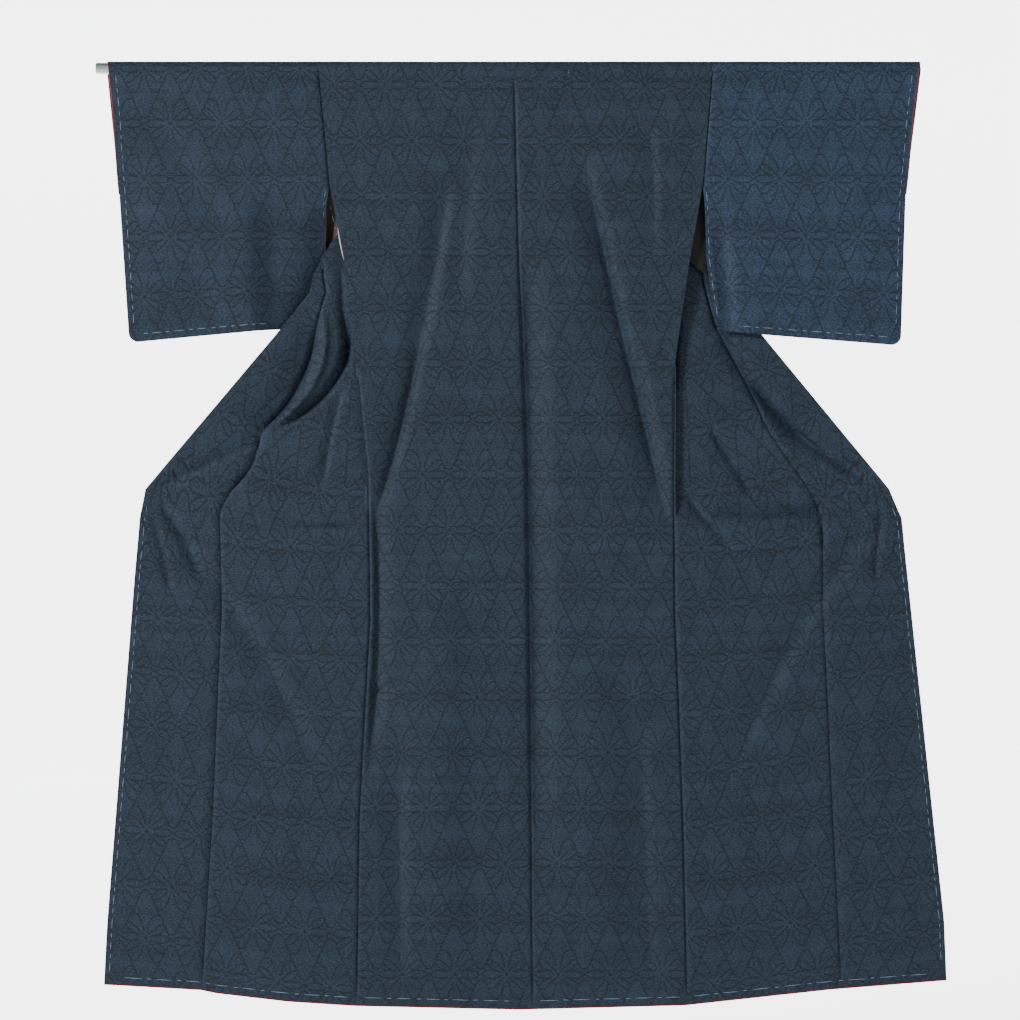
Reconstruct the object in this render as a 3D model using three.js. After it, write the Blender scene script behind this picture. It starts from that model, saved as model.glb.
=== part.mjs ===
// Kimono hung on a rod, seen from its back, in millimetres, +Z up.
// The origin is on the rod's axis above the centre of the back. The garment's back faces -Y.
// Both fronts hang behind the shoulders and are swung out to the sides round the side seams,
// with a pleat of spare cloth tucked behind each edge of the back.
import * as THREE from "three";

const CLOTH = 1.5; // wall of cloth and lining together
const COLLAR_CLOTH = 1.8; // wall of the folded collar
const SEAM_GAP = 0.3;
const ROD_RADIUS = 9.5;
const ROD_LEFT = -685;
const ROD_RIGHT = 658;
const OVER_ROD = ROD_RADIUS + 0.5 + CLOTH / 2; // radius of the cloth's middle over the rod

const NECK_HALF = 88; // half of the neck cut
const NECK_SEAM_Z = -16; // collar seam below the rod's axis, on the back
const NECK_SHARE = NECK_HALF / 321; // share of half a back that lies under the neck
const ARMHOLE_Z = -191; // lower end of the sleeve seam
const SEAM_TOP_Z = -486; // upper end of the side seam, below the open slit
const CORNER_Z = -60; // where the collar leaves the shoulder
const OKUMI_TIP_Z = -310; // upper tip of the overlap panel
const OKUMI_FLARE = 0.341; // width gained for each millimetre down to the collar's end
const COLLAR_END_Z = -691;
const FLAT_Z = -785; // the rows below this one follow the curve of the hem
const HEM_Z = -1540;
const FRONT_TOP = 234; // front width at the shoulder
const SEAM_ROLL = 2; // radius of the turn at the side seam
const COLLAR_WIDTH = 55;
const COLLAR_CALM = 75; // cloth this near the collar lies without folds
const COLLAR_TILT = 0.7; // radians that the collar's width leans once it runs out to the side
const COLLAR_STANDOFF = 3.5; // from the middle of the front to the middle of the collar behind it
const HEM_ROLL = 3; // height of the lining that shows under the hem
const MOUTH_END_Z = -207; // lower end of the sleeve's mouth
const SLEEVE_NOMINAL_Z = -440; // the sleeve's rows are set out for this depth
const SLEEVE_CORNER = 14; // radius of the sleeve's rounded lower corner
const SLEEVE_TURN = 2.5; // radius of the fold along the sleeve's bottom
const MOUTH_BOW = 8; // how far the near edge of the mouth bows in and shows the far one

// Places across the garment at each height, on the photograph's left and right.
const SIDE_EDGE = [
  { z: 11, left: 321, right: 325 },
  { z: -191, left: 302, right: 309 },
  { z: -306, left: 280, right: 289 },
  { z: -486, left: 257, right: 263 },
  { z: -667, left: 239, right: 262 },
  { z: -904, left: 236, right: 264 },
  { z: -1044, left: 244, right: 270 },
  { z: -1236, left: 254, right: 277 },
  { z: -1540, left: 258, right: 284 },
];
const FRONT_EDGE = [
  { z: -60, left: 88, right: 99 },
  { z: -281, left: 298, right: 280 },
  { z: -339, left: 329, right: 328 },
  { z: -367, left: 335, right: 350 },
  { z: -429, left: 384, right: 401 },
  { z: -691, left: 605, right: 616 },
  { z: -736, left: 613, right: 635 },
  { z: -826, left: 621, right: 644 },
  { z: -1437, left: 667, right: 705 },
  { z: -1540, left: 672, right: 709 },
];
const FRONT_WIDTH = [
  { z: -310, left: 242, right: 242 },
  { z: -904, left: 244, right: 243 },
  { z: -1236, left: 240, right: 245 },
  { z: -1540, left: 254, right: 253 },
];
const CENTRE_SEAM = [
  { z: 0, x: 0 },
  { z: -330, x: 8 },
  { z: -634, x: 20 },
  { z: -1540, x: 31 },
];
const HEM = [
  { x: -672, z: -1499 },
  { x: -512, z: -1508 },
  { x: -490, z: -1513 },
  { x: -370, z: -1527 },
  { x: -260, z: -1534 },
  { x: 10, z: -1540 },
  { x: 280, z: -1533 },
  { x: 520, z: -1507 },
  { x: 709, z: -1492 },
];
const SLEEVE_OUTER = [
  { z: 11, left: 669, right: 669 },
  { z: -207, left: 646, right: 641 },
  { z: -440, left: 630, right: 633 },
];
const SLEEVE_INNER = [
  { z: -191, left: 302, right: 309 },
  { z: -314, left: 304, right: 325 },
  { z: -440, left: 302, right: 335 },
];
const SLEEVE_BOTTOM = [
  { share: 0, left: -421, right: -430 },
  { share: 0.25, left: -426, right: -436 },
  { share: 1, left: -448, right: -453 },
];

// Depths, measured towards the hidden side.
const BACK_DEPTH = [
  { z: 0, y: -OVER_ROD },
  { z: -400, y: -8 },
  { z: -800, y: -4 },
  { z: -1540, y: -2 },
];
const LAYER_GAP = [
  { z: 0, y: 2 * OVER_ROD },
  { z: -191, y: 13 },
  { z: -400, y: 2 * SEAM_ROLL },
  { z: -500, y: 2 * SEAM_ROLL },
];
const PLEAT_RADIUS = [
  { z: -100, r: 12 },
  { z: -350, r: 5 },
];
const EDGE_DEPTH = [
  { z: -115, left: 28, right: 28 },
  { z: -191, left: 20, right: 22 },
  { z: -281, left: 6, right: 15 },
  { z: -339, left: 1, right: 12 },
  { z: -429, left: 0, right: 8 },
  { z: -600, left: -1, right: 3 },
  { z: -736, left: -3, right: -3 },
];
// Gap between the middles of a sleeve's two layers, and how far back its inner side is pushed.
const SLEEVE_GAP = [
  { z: 0, y: 2 * OVER_ROD },
  { z: -191, y: 13 },
  { z: -430, y: 2 * SLEEVE_TURN },
];
const SLEEVE_PUSH = [
  { z: -191, left: 0, right: 0 },
  { z: -235, left: 11, right: 0 },
  { z: -280, left: 21, right: 0 },
  { z: -340, left: 21, right: -1 },
  { z: -440, left: 17, right: -2 },
];

// Largest folds: each runs from its first place over a middle one to its last. A positive depth
// is a trough, seen from the back, and a negative one a ridge.
const FOLDS = [
  { x0: 105, z0: -120, xm: 165, zm: -400, x1: 268, z1: -830, width: 20, depth: 9 },
  { x0: -136, z0: -380, xm: -172, zm: -540, x1: -232, z1: -760, width: 18, depth: 7 },
  { x0: 42, z0: -300, xm: 50, zm: -800, x1: 52, z1: -1500, width: 11, depth: 5 },
  { x0: -222, z0: -690, xm: -216, zm: -900, x1: -236, z1: -1130, width: 14, depth: 6 },
  { x0: -590, z0: -722, xm: -455, zm: -850, x1: -300, z1: -1190, width: 24, depth: 6 },
  { x0: 610, z0: -730, xm: 470, zm: -880, x1: 335, z1: -1220, width: 24, depth: 6 },
  { x0: -344, z0: -440, xm: -362, zm: -560, x1: -520, z1: -650, width: 20, depth: 7 },
  { x0: -310, z0: -380, xm: -296, zm: -560, x1: -420, z1: -602, width: 17, depth: -6 },
  { x0: 395, z0: -470, xm: 440, zm: -590, x1: 590, z1: -690, width: 20, depth: 7 },
  { x0: 345, z0: -520, xm: 380, zm: -640, x1: 440, z1: -730, width: 18, depth: 6 },
  { x0: 120, z0: -900, xm: 150, zm: -1200, x1: 150, z1: -1540, width: 60, depth: -6 },
  { x0: -120, z0: -800, xm: -110, zm: -1150, x1: -120, z1: -1540, width: 60, depth: -6 },
];

const ROW_Z = [
  0, -16, -38, -60, -70, -84, -100, -125, -158, -191, -235, -281, -310, -339, -367, -398, -429,
  -458, -486, -525, -565, -605, -648, -691, -736, -785, -845, -920, -1000, -1080, -1160, -1240,
  -1320, -1400, -1475, -1540,
];
const ROD_STEPS = 8;
const ROLL_STEPS = 3;
const TUCK_STEPS = 2;
const PLEAT_STEPS = 5;
const SWING_STEPS = 6;
const FRONT_STEPS = ROLL_STEPS + TUCK_STEPS + PLEAT_STEPS + SWING_STEPS;
const NECK_STEPS = 3;
const OKUMI_STEPS = 4;

// Straight-line reading of a table, held at its ends.
function read(table, key, column, at) {
  const rising = table[0][key] < table[table.length - 1][key];
  const rows = rising ? table : [...table].reverse();
  if (at <= rows[0][key]) return rows[0][column];
  for (let i = 1; i < rows.length; i += 1) {
    if (at <= rows[i][key]) {
      const share = (at - rows[i - 1][key]) / (rows[i][key] - rows[i - 1][key]);
      return rows[i - 1][column] + share * (rows[i][column] - rows[i - 1][column]);
    }
  }
  return rows[rows.length - 1][column];
}

const mix = (a, b, share) => a + (b - a) * share;

function soft(from, to, at) {
  const share = Math.min(1, Math.max(0, (at - from) / (to - from)));
  return share * share * (3 - 2 * share);
}

// Depth that the folds add at a place on the outer side.
function foldDepth(x, z) {
  let sum = 0;
  for (const f of FOLDS) {
    let near = Infinity;
    let along = 0;
    for (let i = 0; i <= 16; i += 1) {
      const t = i / 16;
      const px = (1 - t) * (1 - t) * f.x0 + 2 * t * (1 - t) * f.xm + t * t * f.x1;
      const pz = (1 - t) * (1 - t) * f.z0 + 2 * t * (1 - t) * f.zm + t * t * f.z1;
      const distance = Math.hypot(x - px, z - pz);
      if (distance < near) {
        near = distance;
        along = t;
      }
    }
    const fade = soft(0, 0.18, along) * soft(0, 0.18, 1 - along) * 0.8 + 0.2;
    sum += f.depth * fade * Math.exp(-((near / f.width) ** 2));
  }
  return sum;
}

// Depth of the side that faces the camera.
function outerDepth(x, z) {
  const calm = soft(-20, -150, z);
  return read(BACK_DEPTH, "z", "y", z) + calm * foldDepth(x, z);
}

// One row of a front, as a path across the cloth from the side seam to its front edge.
// It turns back at the seam, runs in behind the back, turns at the pleat and swings out.
function frontRow(side, z) {
  const sign = side === "left" ? -1 : 1;
  const start = read(SIDE_EDGE, "z", side, z);
  const corner = read(FRONT_EDGE, "z", side, CORNER_Z);
  const end = z > CORNER_Z ? mix(NECK_HALF, corner, soft(0, CORNER_Z, z))
    : read(FRONT_EDGE, "z", side, z);
  const reach = end - start;
  const okumi = Math.max(0, OKUMI_TIP_Z - Math.max(z, COLLAR_END_Z)) * OKUMI_FLARE;
  const full = read(FRONT_WIDTH, "z", side, z);
  const cut = mix(Math.abs(reach), mix(FRONT_TOP, full, soft(CORNER_Z, OKUMI_TIP_Z, z)) + okumi,
    soft(CORNER_Z, CORNER_Z - 25, z));
  const radius = read(PLEAT_RADIUS, "z", "r", z);
  const sewn = z <= SEAM_TOP_Z;
  const roll = sewn ? SEAM_ROLL : 0;
  const turns = roll + radius;
  const length = sewn ? Math.max(cut, reach) : cut;
  let angle = Math.PI;
  let tuck;
  if (sewn) {
    const spare = z < COLLAR_END_Z - 60 ? 0 : length - reach;
    if (spare < turns * Math.PI) {
      let low = 0;
      let high = Math.PI;
      for (let i = 0; i < 40; i += 1) {
        angle = (low + high) / 2;
        if (turns * (angle - Math.sin(angle)) < spare) low = angle;
        else high = angle;
      }
      tuck = 0;
    } else {
      tuck = (spare - turns * Math.PI) / 2;
    }
  } else {
    let low = 0;
    let high = length;
    for (let i = 0; i < 40; i += 1) {
      tuck = (low + high) / 2;
      const turned = Math.min(Math.PI, (length - tuck) / radius);
      const out = Math.max(0, length - tuck - Math.PI * radius);
      if (out - tuck - radius * Math.sin(turned) > reach) low = tuck;
      else high = tuck;
    }
  }
  const total = sewn && z < COLLAR_END_Z - 60 ? reach : length;
  return { sign, side, z, start, total, roll, radius, angle, tuck, sewn };
}

// Place and depth on a front's row at a length across the cloth.
function alongRow(row, s) {
  const rollLength = row.roll * row.angle;
  let across = row.start;
  let back = row.sewn ? 0 : read(LAYER_GAP, "z", "y", row.z);
  if (s <= rollLength && row.sewn) {
    const turned = s / row.roll;
    across += row.roll * Math.sin(turned);
    back += row.roll * (1 - Math.cos(turned));
    return { across, back, out: 0 };
  }
  if (row.sewn) {
    across += row.roll * Math.sin(row.angle);
    back += row.roll * (1 - Math.cos(row.angle));
  }
  let left = s - rollLength;
  const straight = Math.min(left, row.tuck);
  across += straight * Math.cos(row.angle);
  left -= straight;
  const turned = Math.min(left / row.radius, row.angle);
  across += row.radius * (Math.sin(row.angle) - Math.sin(row.angle - turned));
  back += row.radius * (Math.cos(row.angle - turned) - Math.cos(row.angle));
  left = Math.max(0, left - row.radius * row.angle);
  return { across: across + left, back, out: left };
}

function frontPoint(side, z, s) {
  const row = frontRow(side, z);
  const place = alongRow(row, s);
  const x = row.sign * place.across;
  const base = read(BACK_DEPTH, "z", "y", z);
  const run = Math.max(1, row.total - (row.roll + row.radius) * row.angle - row.tuck);
  const share = place.out > 0 ? place.out / run : 0;
  const behindBack = row.sign * x < row.start;
  const byCollar = 1 - soft(COLLAR_CALM - 45, COLLAR_CALM + 25, row.total - s);
  const calm = 1 - 0.88 * byCollar * soft(COLLAR_END_Z - 110, COLLAR_END_Z - 50, z);
  const folds = outerDepth(x, z) - base;
  const relief = place.out > 0 || !behindBack ? folds * calm : 0;
  const tucked = row.angle / Math.PI;
  const seen = soft(-20, 20, place.across - row.start);
  const followed = behindBack ? folds * soft(-250, -420, z) : 0;
  let y = base + place.back + relief * Math.max(seen, 1 - tucked) + followed * (1 - seen);
  if (z > COLLAR_END_Z - 60) {
    const swung = share * soft(0, 60, run) * soft(CORNER_Z - 40, CORNER_Z - 65, z);
    y += swung * (read(EDGE_DEPTH, "z", side, z) - base - place.back) * tucked;
  }
  return new THREE.Vector3(x, y, drop(x, z));
}

// Height of a row at a place: the lower rows follow the hem.
function drop(x, z) {
  if (z >= FLAT_Z) return z;
  const share = (FLAT_Z - z) / (FLAT_Z - HEM_Z);
  return mix(FLAT_Z, read(HEM, "x", "z", x), share);
}

// Lengths across the cloth where a front's columns lie: close at the turns of the pleat, and
// even at the shoulder and near the hem, where there is none.
function frontColumns(side, z, last) {
  const row = frontRow(side, z);
  const turn = Math.max(row.radius * row.angle, 3 * row.radius);
  const rollEnd = row.sewn ? 3 * SEAM_ROLL : 0;
  const pleatEnd = Math.min(rollEnd + Math.max(row.tuck, 8) + turn, last - 9);
  const tuckEnd = pleatEnd - turn;
  const stops = row.sewn
    ? [[0, rollEnd, ROLL_STEPS], [rollEnd, tuckEnd, TUCK_STEPS]]
    : [[0, tuckEnd, ROLL_STEPS + TUCK_STEPS]];
  stops.push([tuckEnd, pleatEnd, PLEAT_STEPS], [pleatEnd, last, SWING_STEPS]);
  const shaped = stops.flatMap(([from, to, steps]) =>
    Array.from({ length: steps }, (_, i) => mix(from, to, i / steps)));
  shaped.push(last);
  const pleated = soft(CORNER_Z, CORNER_Z - 60, z) * (1 - soft(FLAT_Z, FLAT_Z - 420, z));
  return shaped.map((value, i) => mix((last * i) / FRONT_STEPS, value, pleated));
}

// A sheet of cloth with its normals, closed into a wall of even thickness.
class Sheet {
  constructor() {
    this.points = [];
    this.normals = [];
    this.faces = [];
  }

  add(point, normal) {
    this.points.push(point);
    this.normals.push(normal);
    return this.points.length - 1;
  }

  // A grid's faces all turn the way in which most of it agrees with its normals.
  grid(rows) {
    const rings = [];
    let facing = 0;
    for (let r = 1; r < rows.length; r += 1) {
      for (let c = 1; c < rows[r].length; c += 1) {
        const ring = [rows[r - 1][c - 1], rows[r - 1][c], rows[r][c], rows[r][c - 1]];
        const [a, b, , d] = ring.map((i) => this.points[i]);
        const flat = new THREE.Vector3().crossVectors(b.clone().sub(a), d.clone().sub(a));
        facing += Math.sign(flat.dot(this.normals[ring[0]]));
        rings.push(ring);
      }
    }
    for (const ring of rings) {
      if (facing < 0) ring.reverse();
      this.faces.push([ring[0], ring[1], ring[2]], [ring[0], ring[2], ring[3]]);
    }
  }

  // Sets each point's normal to the mean of the faces round it.
  settle() {
    const sums = this.points.map(() => new THREE.Vector3());
    for (const face of this.faces) {
      const [a, b, c] = face.map((i) => this.points[i]);
      const flat = new THREE.Vector3().crossVectors(b.clone().sub(a), c.clone().sub(a));
      face.forEach((i) => sums[i].add(flat));
    }
    this.normals = sums.map((sum) => sum.normalize());
  }

  wall(thickness) {
    const count = this.points.length;
    const position = [];
    for (const half of [thickness / 2, -thickness / 2]) {
      this.points.forEach((p, i) => {
        const n = this.normals[i];
        position.push(p.x + half * n.x, p.y + half * n.y, p.z + half * n.z);
      });
    }
    const index = [];
    const edges = new Map();
    for (const [a, b, c] of this.faces) {
      index.push(a, b, c, c + count, b + count, a + count);
      for (const [from, to] of [[a, b], [b, c], [c, a]]) {
        const twin = `${to},${from}`;
        if (edges.has(twin)) edges.delete(twin);
        else edges.set(`${from},${to}`, [from, to]);
      }
    }
    for (const [from, to] of edges.values()) {
      index.push(to, from, from + count, to, from + count, to + count);
    }
    const geometry = new THREE.BufferGeometry();
    geometry.setAttribute("position", new THREE.Float32BufferAttribute(position, 3));
    geometry.setIndex(index);
    geometry.computeVertexNormals();
    return geometry;
  }
}

// Normal of a surface from three near points on it, turned to the garment's outer side.
function normalOf(surface, u, v, stepU, stepV) {
  const du = surface(u + stepU, v).sub(surface(u - stepU, v));
  const dv = surface(u, v + stepV).sub(surface(u, v - stepV));
  return new THREE.Vector3().crossVectors(du, dv).normalize();
}

// Normal of a front at a length across it. Both pieces that meet in the okumi seam share the
// normal of the seam itself.
function frontNormal(side, z, s) {
  const seam = read(FRONT_WIDTH, "z", side, z);
  const atSeam = z < OKUMI_TIP_Z && Math.abs(s - seam) < SEAM_GAP;
  const lift = z > FLAT_Z ? -0.3 : -2;
  const normal = normalOf((u, v) => frontPoint(side, v, u), atSeam ? seam : s, z, 0.2, lift);
  if (side === "right") normal.negate();
  return atSeam ? normal.setX(0).normalize() : normal;
}

const centreX = (z) => read(CENTRE_SEAM, "z", "x", z);

// Half a back: share 0 is its side edge and share 1 the centre seam.
function backPoint(side, z, share) {
  const sign = side === "left" ? -1 : 1;
  const edge = sign * read(SIDE_EDGE, "z", side, z);
  const centre = centreX(z) + (sign * SEAM_GAP) / 2;
  const x = mix(edge, centre, share);
  return new THREE.Vector3(x, outerDepth(x, z), drop(x, z));
}

function backShares() {
  const shares = [];
  for (let i = 0; i <= FRONT_STEPS; i += 1) shares.push(((1 - NECK_SHARE) * i) / FRONT_STEPS);
  for (let i = 1; i <= NECK_STEPS; i += 1) shares.push(1 - NECK_SHARE + (NECK_SHARE * i) / NECK_STEPS);
  return shares;
}

const BACKWARD = new THREE.Vector3(0, -1, 0);

// Body width: back from the hem up, over the rod, and front down again, with the neck cut out.
// The side seam is closed below the slit, as it is sewn.
function bodyWidth(side) {
  const sheet = new Sheet();
  const shares = backShares();
  const back = ROW_Z.map((z) => shares.map((share) => {
    const point = backPoint(side, z, share);
    const normal = z > -20 ? BACKWARD.clone()
      : normalOf((u, v) => backPoint(side, v, u), share, z, 0.002, 0.5);
    if (normal.y > 0) normal.negate();
    return sheet.add(point, normal);
  }));
  const front = ROW_Z.map((z, r) => {
    const row = frontRow(side, z);
    const okumiSeam = read(FRONT_WIDTH, "z", side, z);
    const last = row.total > okumiSeam + 4 && z < OKUMI_TIP_Z ? okumiSeam - SEAM_GAP / 2 : row.total;
    return frontColumns(side, z, last).map((s, c) => {
      if (c === 0 && z <= SEAM_TOP_Z) return back[r][0];
      const normal = z > -20 ? BACKWARD.clone().negate() : frontNormal(side, z, s);
      return sheet.add(frontPoint(side, z, s), normal);
    });
  });
  const neck = ROW_Z.indexOf(NECK_SEAM_Z);
  sheet.grid(back.slice(neck));
  sheet.grid(back.slice(0, neck + 1).map((row) => row.slice(0, FRONT_STEPS + 1)));
  sheet.grid(front);
  const overRod = [back[0].slice(0, FRONT_STEPS + 1)];
  for (let i = 1; i < ROD_STEPS; i += 1) {
    const turn = (Math.PI * i) / ROD_STEPS;
    const outward = new THREE.Vector3(0, -Math.cos(turn), Math.sin(turn));
    overRod.push(overRod[0].map((low) => {
      const at = outward.clone().multiplyScalar(OVER_ROD);
      at.x = sheet.points[low].x;
      return sheet.add(at, outward.clone());
    }));
  }
  overRod.push(front[0]);
  sheet.grid(overRod);
  return sheet.wall(CLOTH);
}

function okumiColumns(side, z) {
  const from = read(FRONT_WIDTH, "z", side, z) + SEAM_GAP / 2;
  const to = frontRow(side, z).total;
  return Array.from({ length: OKUMI_STEPS + 1 }, (_, i) => mix(from, to, i / OKUMI_STEPS));
}

// Overlap panel: from its tip down to the hem, between the front and the front edge.
function okumi(side) {
  const sheet = new Sheet();
  sheet.grid(ROW_Z.filter((z) => z < OKUMI_TIP_Z).map((z) => okumiColumns(side, z)
    .map((s) => sheet.add(frontPoint(side, z, s), frontNormal(side, z, s)))));
  return sheet.wall(CLOTH);
}

const SLEEVE_ROW_Z = [
  0, -16, -38, -70, -100, -125, -158, -191, -207, -235, -270, -310, -350, -390, -425,
];
const SLEEVE_SHARES = [0, 0.1, 0.22, 0.38, 0.58, 0.8, 0.95, 1];

// Place on a sleeve: share 0 is its inner edge and share 1 the mouth; the near layer is seen from
// the back. Below the mouth the rows stretch to the slanting bottom.
function sleevePoint(side, share, nominal, far) {
  const sign = side === "left" ? -1 : 1;
  const bottom = read(SLEEVE_BOTTOM, "share", side, share) + SLEEVE_TURN;
  const lower = Math.max(0, MOUTH_END_Z - nominal) / (MOUTH_END_Z - SLEEVE_NOMINAL_Z);
  const z = nominal > MOUTH_END_Z ? nominal : mix(MOUTH_END_Z, bottom, Math.min(1, lower));
  const left = Math.max(0, SLEEVE_CORNER - (z - bottom + SLEEVE_TURN));
  const round = SLEEVE_CORNER - Math.sqrt(Math.max(0, SLEEVE_CORNER ** 2 - left ** 2));
  const mouth = Math.max(0, Math.sin((Math.PI * z) / MOUTH_END_Z)) * (z > MOUTH_END_Z ? 1 : 0);
  const bow = far ? 0 : MOUTH_BOW * mouth;
  const outer = read(SLEEVE_OUTER, "z", side, z) - round - bow;
  const table = z > ARMHOLE_Z ? SIDE_EDGE : SLEEVE_INNER;
  const inner = read(table, "z", side, z) + SEAM_GAP;
  const push = read(SLEEVE_PUSH, "z", side, z) * (1 - soft(0.28, 0.8, share));
  const closing = soft(0.75, 1, share) * soft(-120, MOUTH_END_Z, z);
  const gap = mix(read(SLEEVE_GAP, "z", "y", z), 2 * SLEEVE_TURN, closing);
  const middle = (read(SLEEVE_GAP, "z", "y", z) - gap) / 2;
  const near = read(BACK_DEPTH, "z", "y", z) + push + middle;
  return new THREE.Vector3(sign * mix(inner, outer, share), far ? near + gap : near, z);
}

// Sleeve: one length over the rod, folded along the bottom and sewn shut below the mouth. Its
// mouth and the inner edge below the armhole stay open.
function sleeve(side) {
  const sheet = new Sheet();
  const ring = SLEEVE_SHARES.map((share) => {
    const rows = [...SLEEVE_ROW_Z, SLEEVE_NOMINAL_Z];
    const near = rows.map((z) => sleevePoint(side, share, z, false));
    const far = rows.map((z) => sleevePoint(side, share, z, true));
    const low = near[near.length - 1];
    const turn = [1, 2, 3].map((i) => {
      const angle = (Math.PI * i) / 4;
      const across = SLEEVE_TURN * (1 - Math.cos(angle));
      return new THREE.Vector3(low.x, low.y + across, low.z - SLEEVE_TURN * Math.sin(angle));
    });
    const over = [];
    for (let i = 1; i < ROD_STEPS; i += 1) {
      const angle = (Math.PI * i) / ROD_STEPS;
      const [y, z] = [OVER_ROD * Math.cos(angle), OVER_ROD * Math.sin(angle)];
      over.push(new THREE.Vector3(near[0].x, y, z));
    }
    return [...near, ...turn, ...far.reverse(), ...over];
  });
  const count = SLEEVE_ROW_Z.length + 1;
  const columns = ring.map((points) => points.map((p, i) => {
    const outward = i < count ? -1 : 1;
    return sheet.add(p, new THREE.Vector3(0, outward, 0.01));
  }));
  sheet.grid(columns.map((column) => [...column, column[0]]));
  const end = columns[columns.length - 1];
  const firstShut = SLEEVE_ROW_Z.indexOf(MOUTH_END_Z);
  const lastNear = count - 1;
  const strip = [];
  for (let i = firstShut; i <= lastNear + 1; i += 1) {
    strip.push([end[i], end[2 * lastNear + 4 - i]]);
  }
  const outwards = new THREE.Vector3(side === "left" ? -1 : 1, 0, 0);
  for (const [a, b] of strip) {
    sheet.normals[a] = outwards;
    sheet.normals[b] = outwards;
  }
  sheet.grid(strip);
  const [a, b, c] = [end[lastNear + 1], end[lastNear + 2], end[lastNear + 3]];
  sheet.faces.push(side === "left" ? [a, c, b] : [a, b, c]);
  sheet.settle();
  return sheet.wall(CLOTH);
}

const NECK_COLUMNS = [-86.6, -68, -50, -32, 0, 32, 50, 68, 86.6];
const COLLAR_BAND = 3; // columns of the neck that run on into each end of the collar
const NECK_BACK_Z = -8;
const COLLAR_ROW_Z = ROW_Z.filter((z) => z < NECK_BACK_Z && z >= COLLAR_END_Z);

// Depth of the swung-out part of a front at a place, or of its pleat where the place lies inside.
function swungDepth(side, x, z) {
  const row = frontRow(side, z);
  const end = alongRow(row, row.total).across;
  const run = alongRow(row, row.total).out;
  const back = Math.min(Math.max(0, run), end - Math.abs(x));
  return frontPoint(side, z, row.total - back).y;
}

// Collar: over the rod at the neck, then down inside the edge of each front to its end.
function collar() {
  const sheet = new Sheet();
  const radius = OVER_ROD + (COLLAR_CLOTH - CLOTH) / 2;
  const profile = [[-radius, NECK_SEAM_Z + SEAM_GAP], [-radius, NECK_BACK_Z]];
  for (let i = 0; i <= ROD_STEPS; i += 1) {
    const angle = (Math.PI * i) / ROD_STEPS;
    profile.push([-radius * Math.cos(angle), radius * Math.sin(angle)]);
  }
  profile.push([radius, NECK_BACK_Z]);
  const saddle = profile.map(([y, z]) => NECK_COLUMNS.map((x) =>
    sheet.add(new THREE.Vector3(x, y, z), new THREE.Vector3(0, y, Math.max(0, z) + 0.1))));
  sheet.grid(saddle);
  const last = saddle[saddle.length - 1];
  for (const side of ["left", "right"]) {
    const sign = side === "left" ? -1 : 1;
    const top = side === "left" ? last.slice(0, COLLAR_BAND + 1)
      : last.slice(-COLLAR_BAND - 1).reverse();
    const rows = COLLAR_ROW_Z.map((z) => {
      const row = frontRow(side, z);
      const tip = alongRow(row, row.total);
      const bent = Math.min(row.angle, Math.max(0, (row.total - row.tuck) / row.radius));
      const facing = z < CORNER_Z ? row.angle - bent : Math.PI;
      const swung = 1 - facing / Math.PI;
      const stand = COLLAR_STANDOFF * swung;
      const out = SEAM_GAP + 0.1 + 1.1 * swung;
      const across = tip.across + out * Math.cos(facing) - stand * Math.sin(facing);
      const edgeY = frontPoint(side, z, row.total).y + out * Math.sin(facing)
        + stand * Math.cos(facing);
      const tilt = COLLAR_TILT * soft(CORNER_Z, -200, z);
      return Array.from({ length: COLLAR_BAND + 1 }, (_, i) => {
        const width = (COLLAR_WIDTH * i) / COLLAR_BAND;
        const x = sign * (across - width * Math.cos(tilt));
        const low = z - width * Math.sin(tilt);
        const behind = i > 0 && swung > 0.9 ? swungDepth(side, x, low) + COLLAR_STANDOFF : edgeY;
        const y = mix(edgeY, behind, soft(CORNER_Z - 30, -140, z));
        return sheet.add(new THREE.Vector3(x, y, low), new THREE.Vector3(0, 1, 0));
      });
    });
    sheet.grid([top, ...rows]);
  }
  sheet.settle();
  return sheet.wall(COLLAR_CLOTH);
}

// Lining that shows as a narrow roll under the hem, made from the hem's own points.
function hemLining() {
  const sheet = new Sheet();
  const hem = [];
  for (const side of ["left", "right"]) {
    const seam = read(FRONT_WIDTH, "z", side, HEM_Z);
    const columns = frontColumns(side, HEM_Z, seam - SEAM_GAP / 2).slice(1, -1);
    const front = [...columns, ...okumiColumns(side, HEM_Z)]
      .map((s) => [frontPoint(side, HEM_Z, s), frontNormal(side, HEM_Z, s)]);
    const back = backShares().slice(0, -1).map((share) => [backPoint(side, HEM_Z, share), BACKWARD]);
    const half = [...front.reverse(), ...back];
    hem.push(...(side === "left" ? half : half.reverse()));
  }
  sheet.grid([SEAM_GAP, SEAM_GAP + HEM_ROLL].map((low) => hem.map(([p, n]) =>
    sheet.add(new THREE.Vector3(p.x, p.y, p.z - low), new THREE.Vector3(n.x, n.y, 0).normalize()))));
  return sheet.wall(COLLAR_CLOTH);
}

const metal = new THREE.MeshStandardMaterial({ color: 0xc9ccd0, roughness: 0.4, metalness: 0.9 });
const silk = () => new THREE.MeshStandardMaterial({ color: 0x2f3f52, roughness: 0.75, metalness: 0 });
const lining = new THREE.MeshStandardMaterial({ color: 0x7d2332, roughness: 0.6, metalness: 0 });

const kimono = new THREE.Group();

function place(name, geometry, material) {
  const mesh = new THREE.Mesh(geometry, material);
  mesh.name = name;
  kimono.add(mesh);
}

place("body_left", bodyWidth("left"), silk());
place("body_right", bodyWidth("right"), silk());
place("okumi_left", okumi("left"), silk());
place("okumi_right", okumi("right"), silk());

place("sleeve_left", sleeve("left"), silk());
place("sleeve_right", sleeve("right"), silk());
place("collar", collar(), silk());
place("hem_lining", hemLining(), lining);

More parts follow.
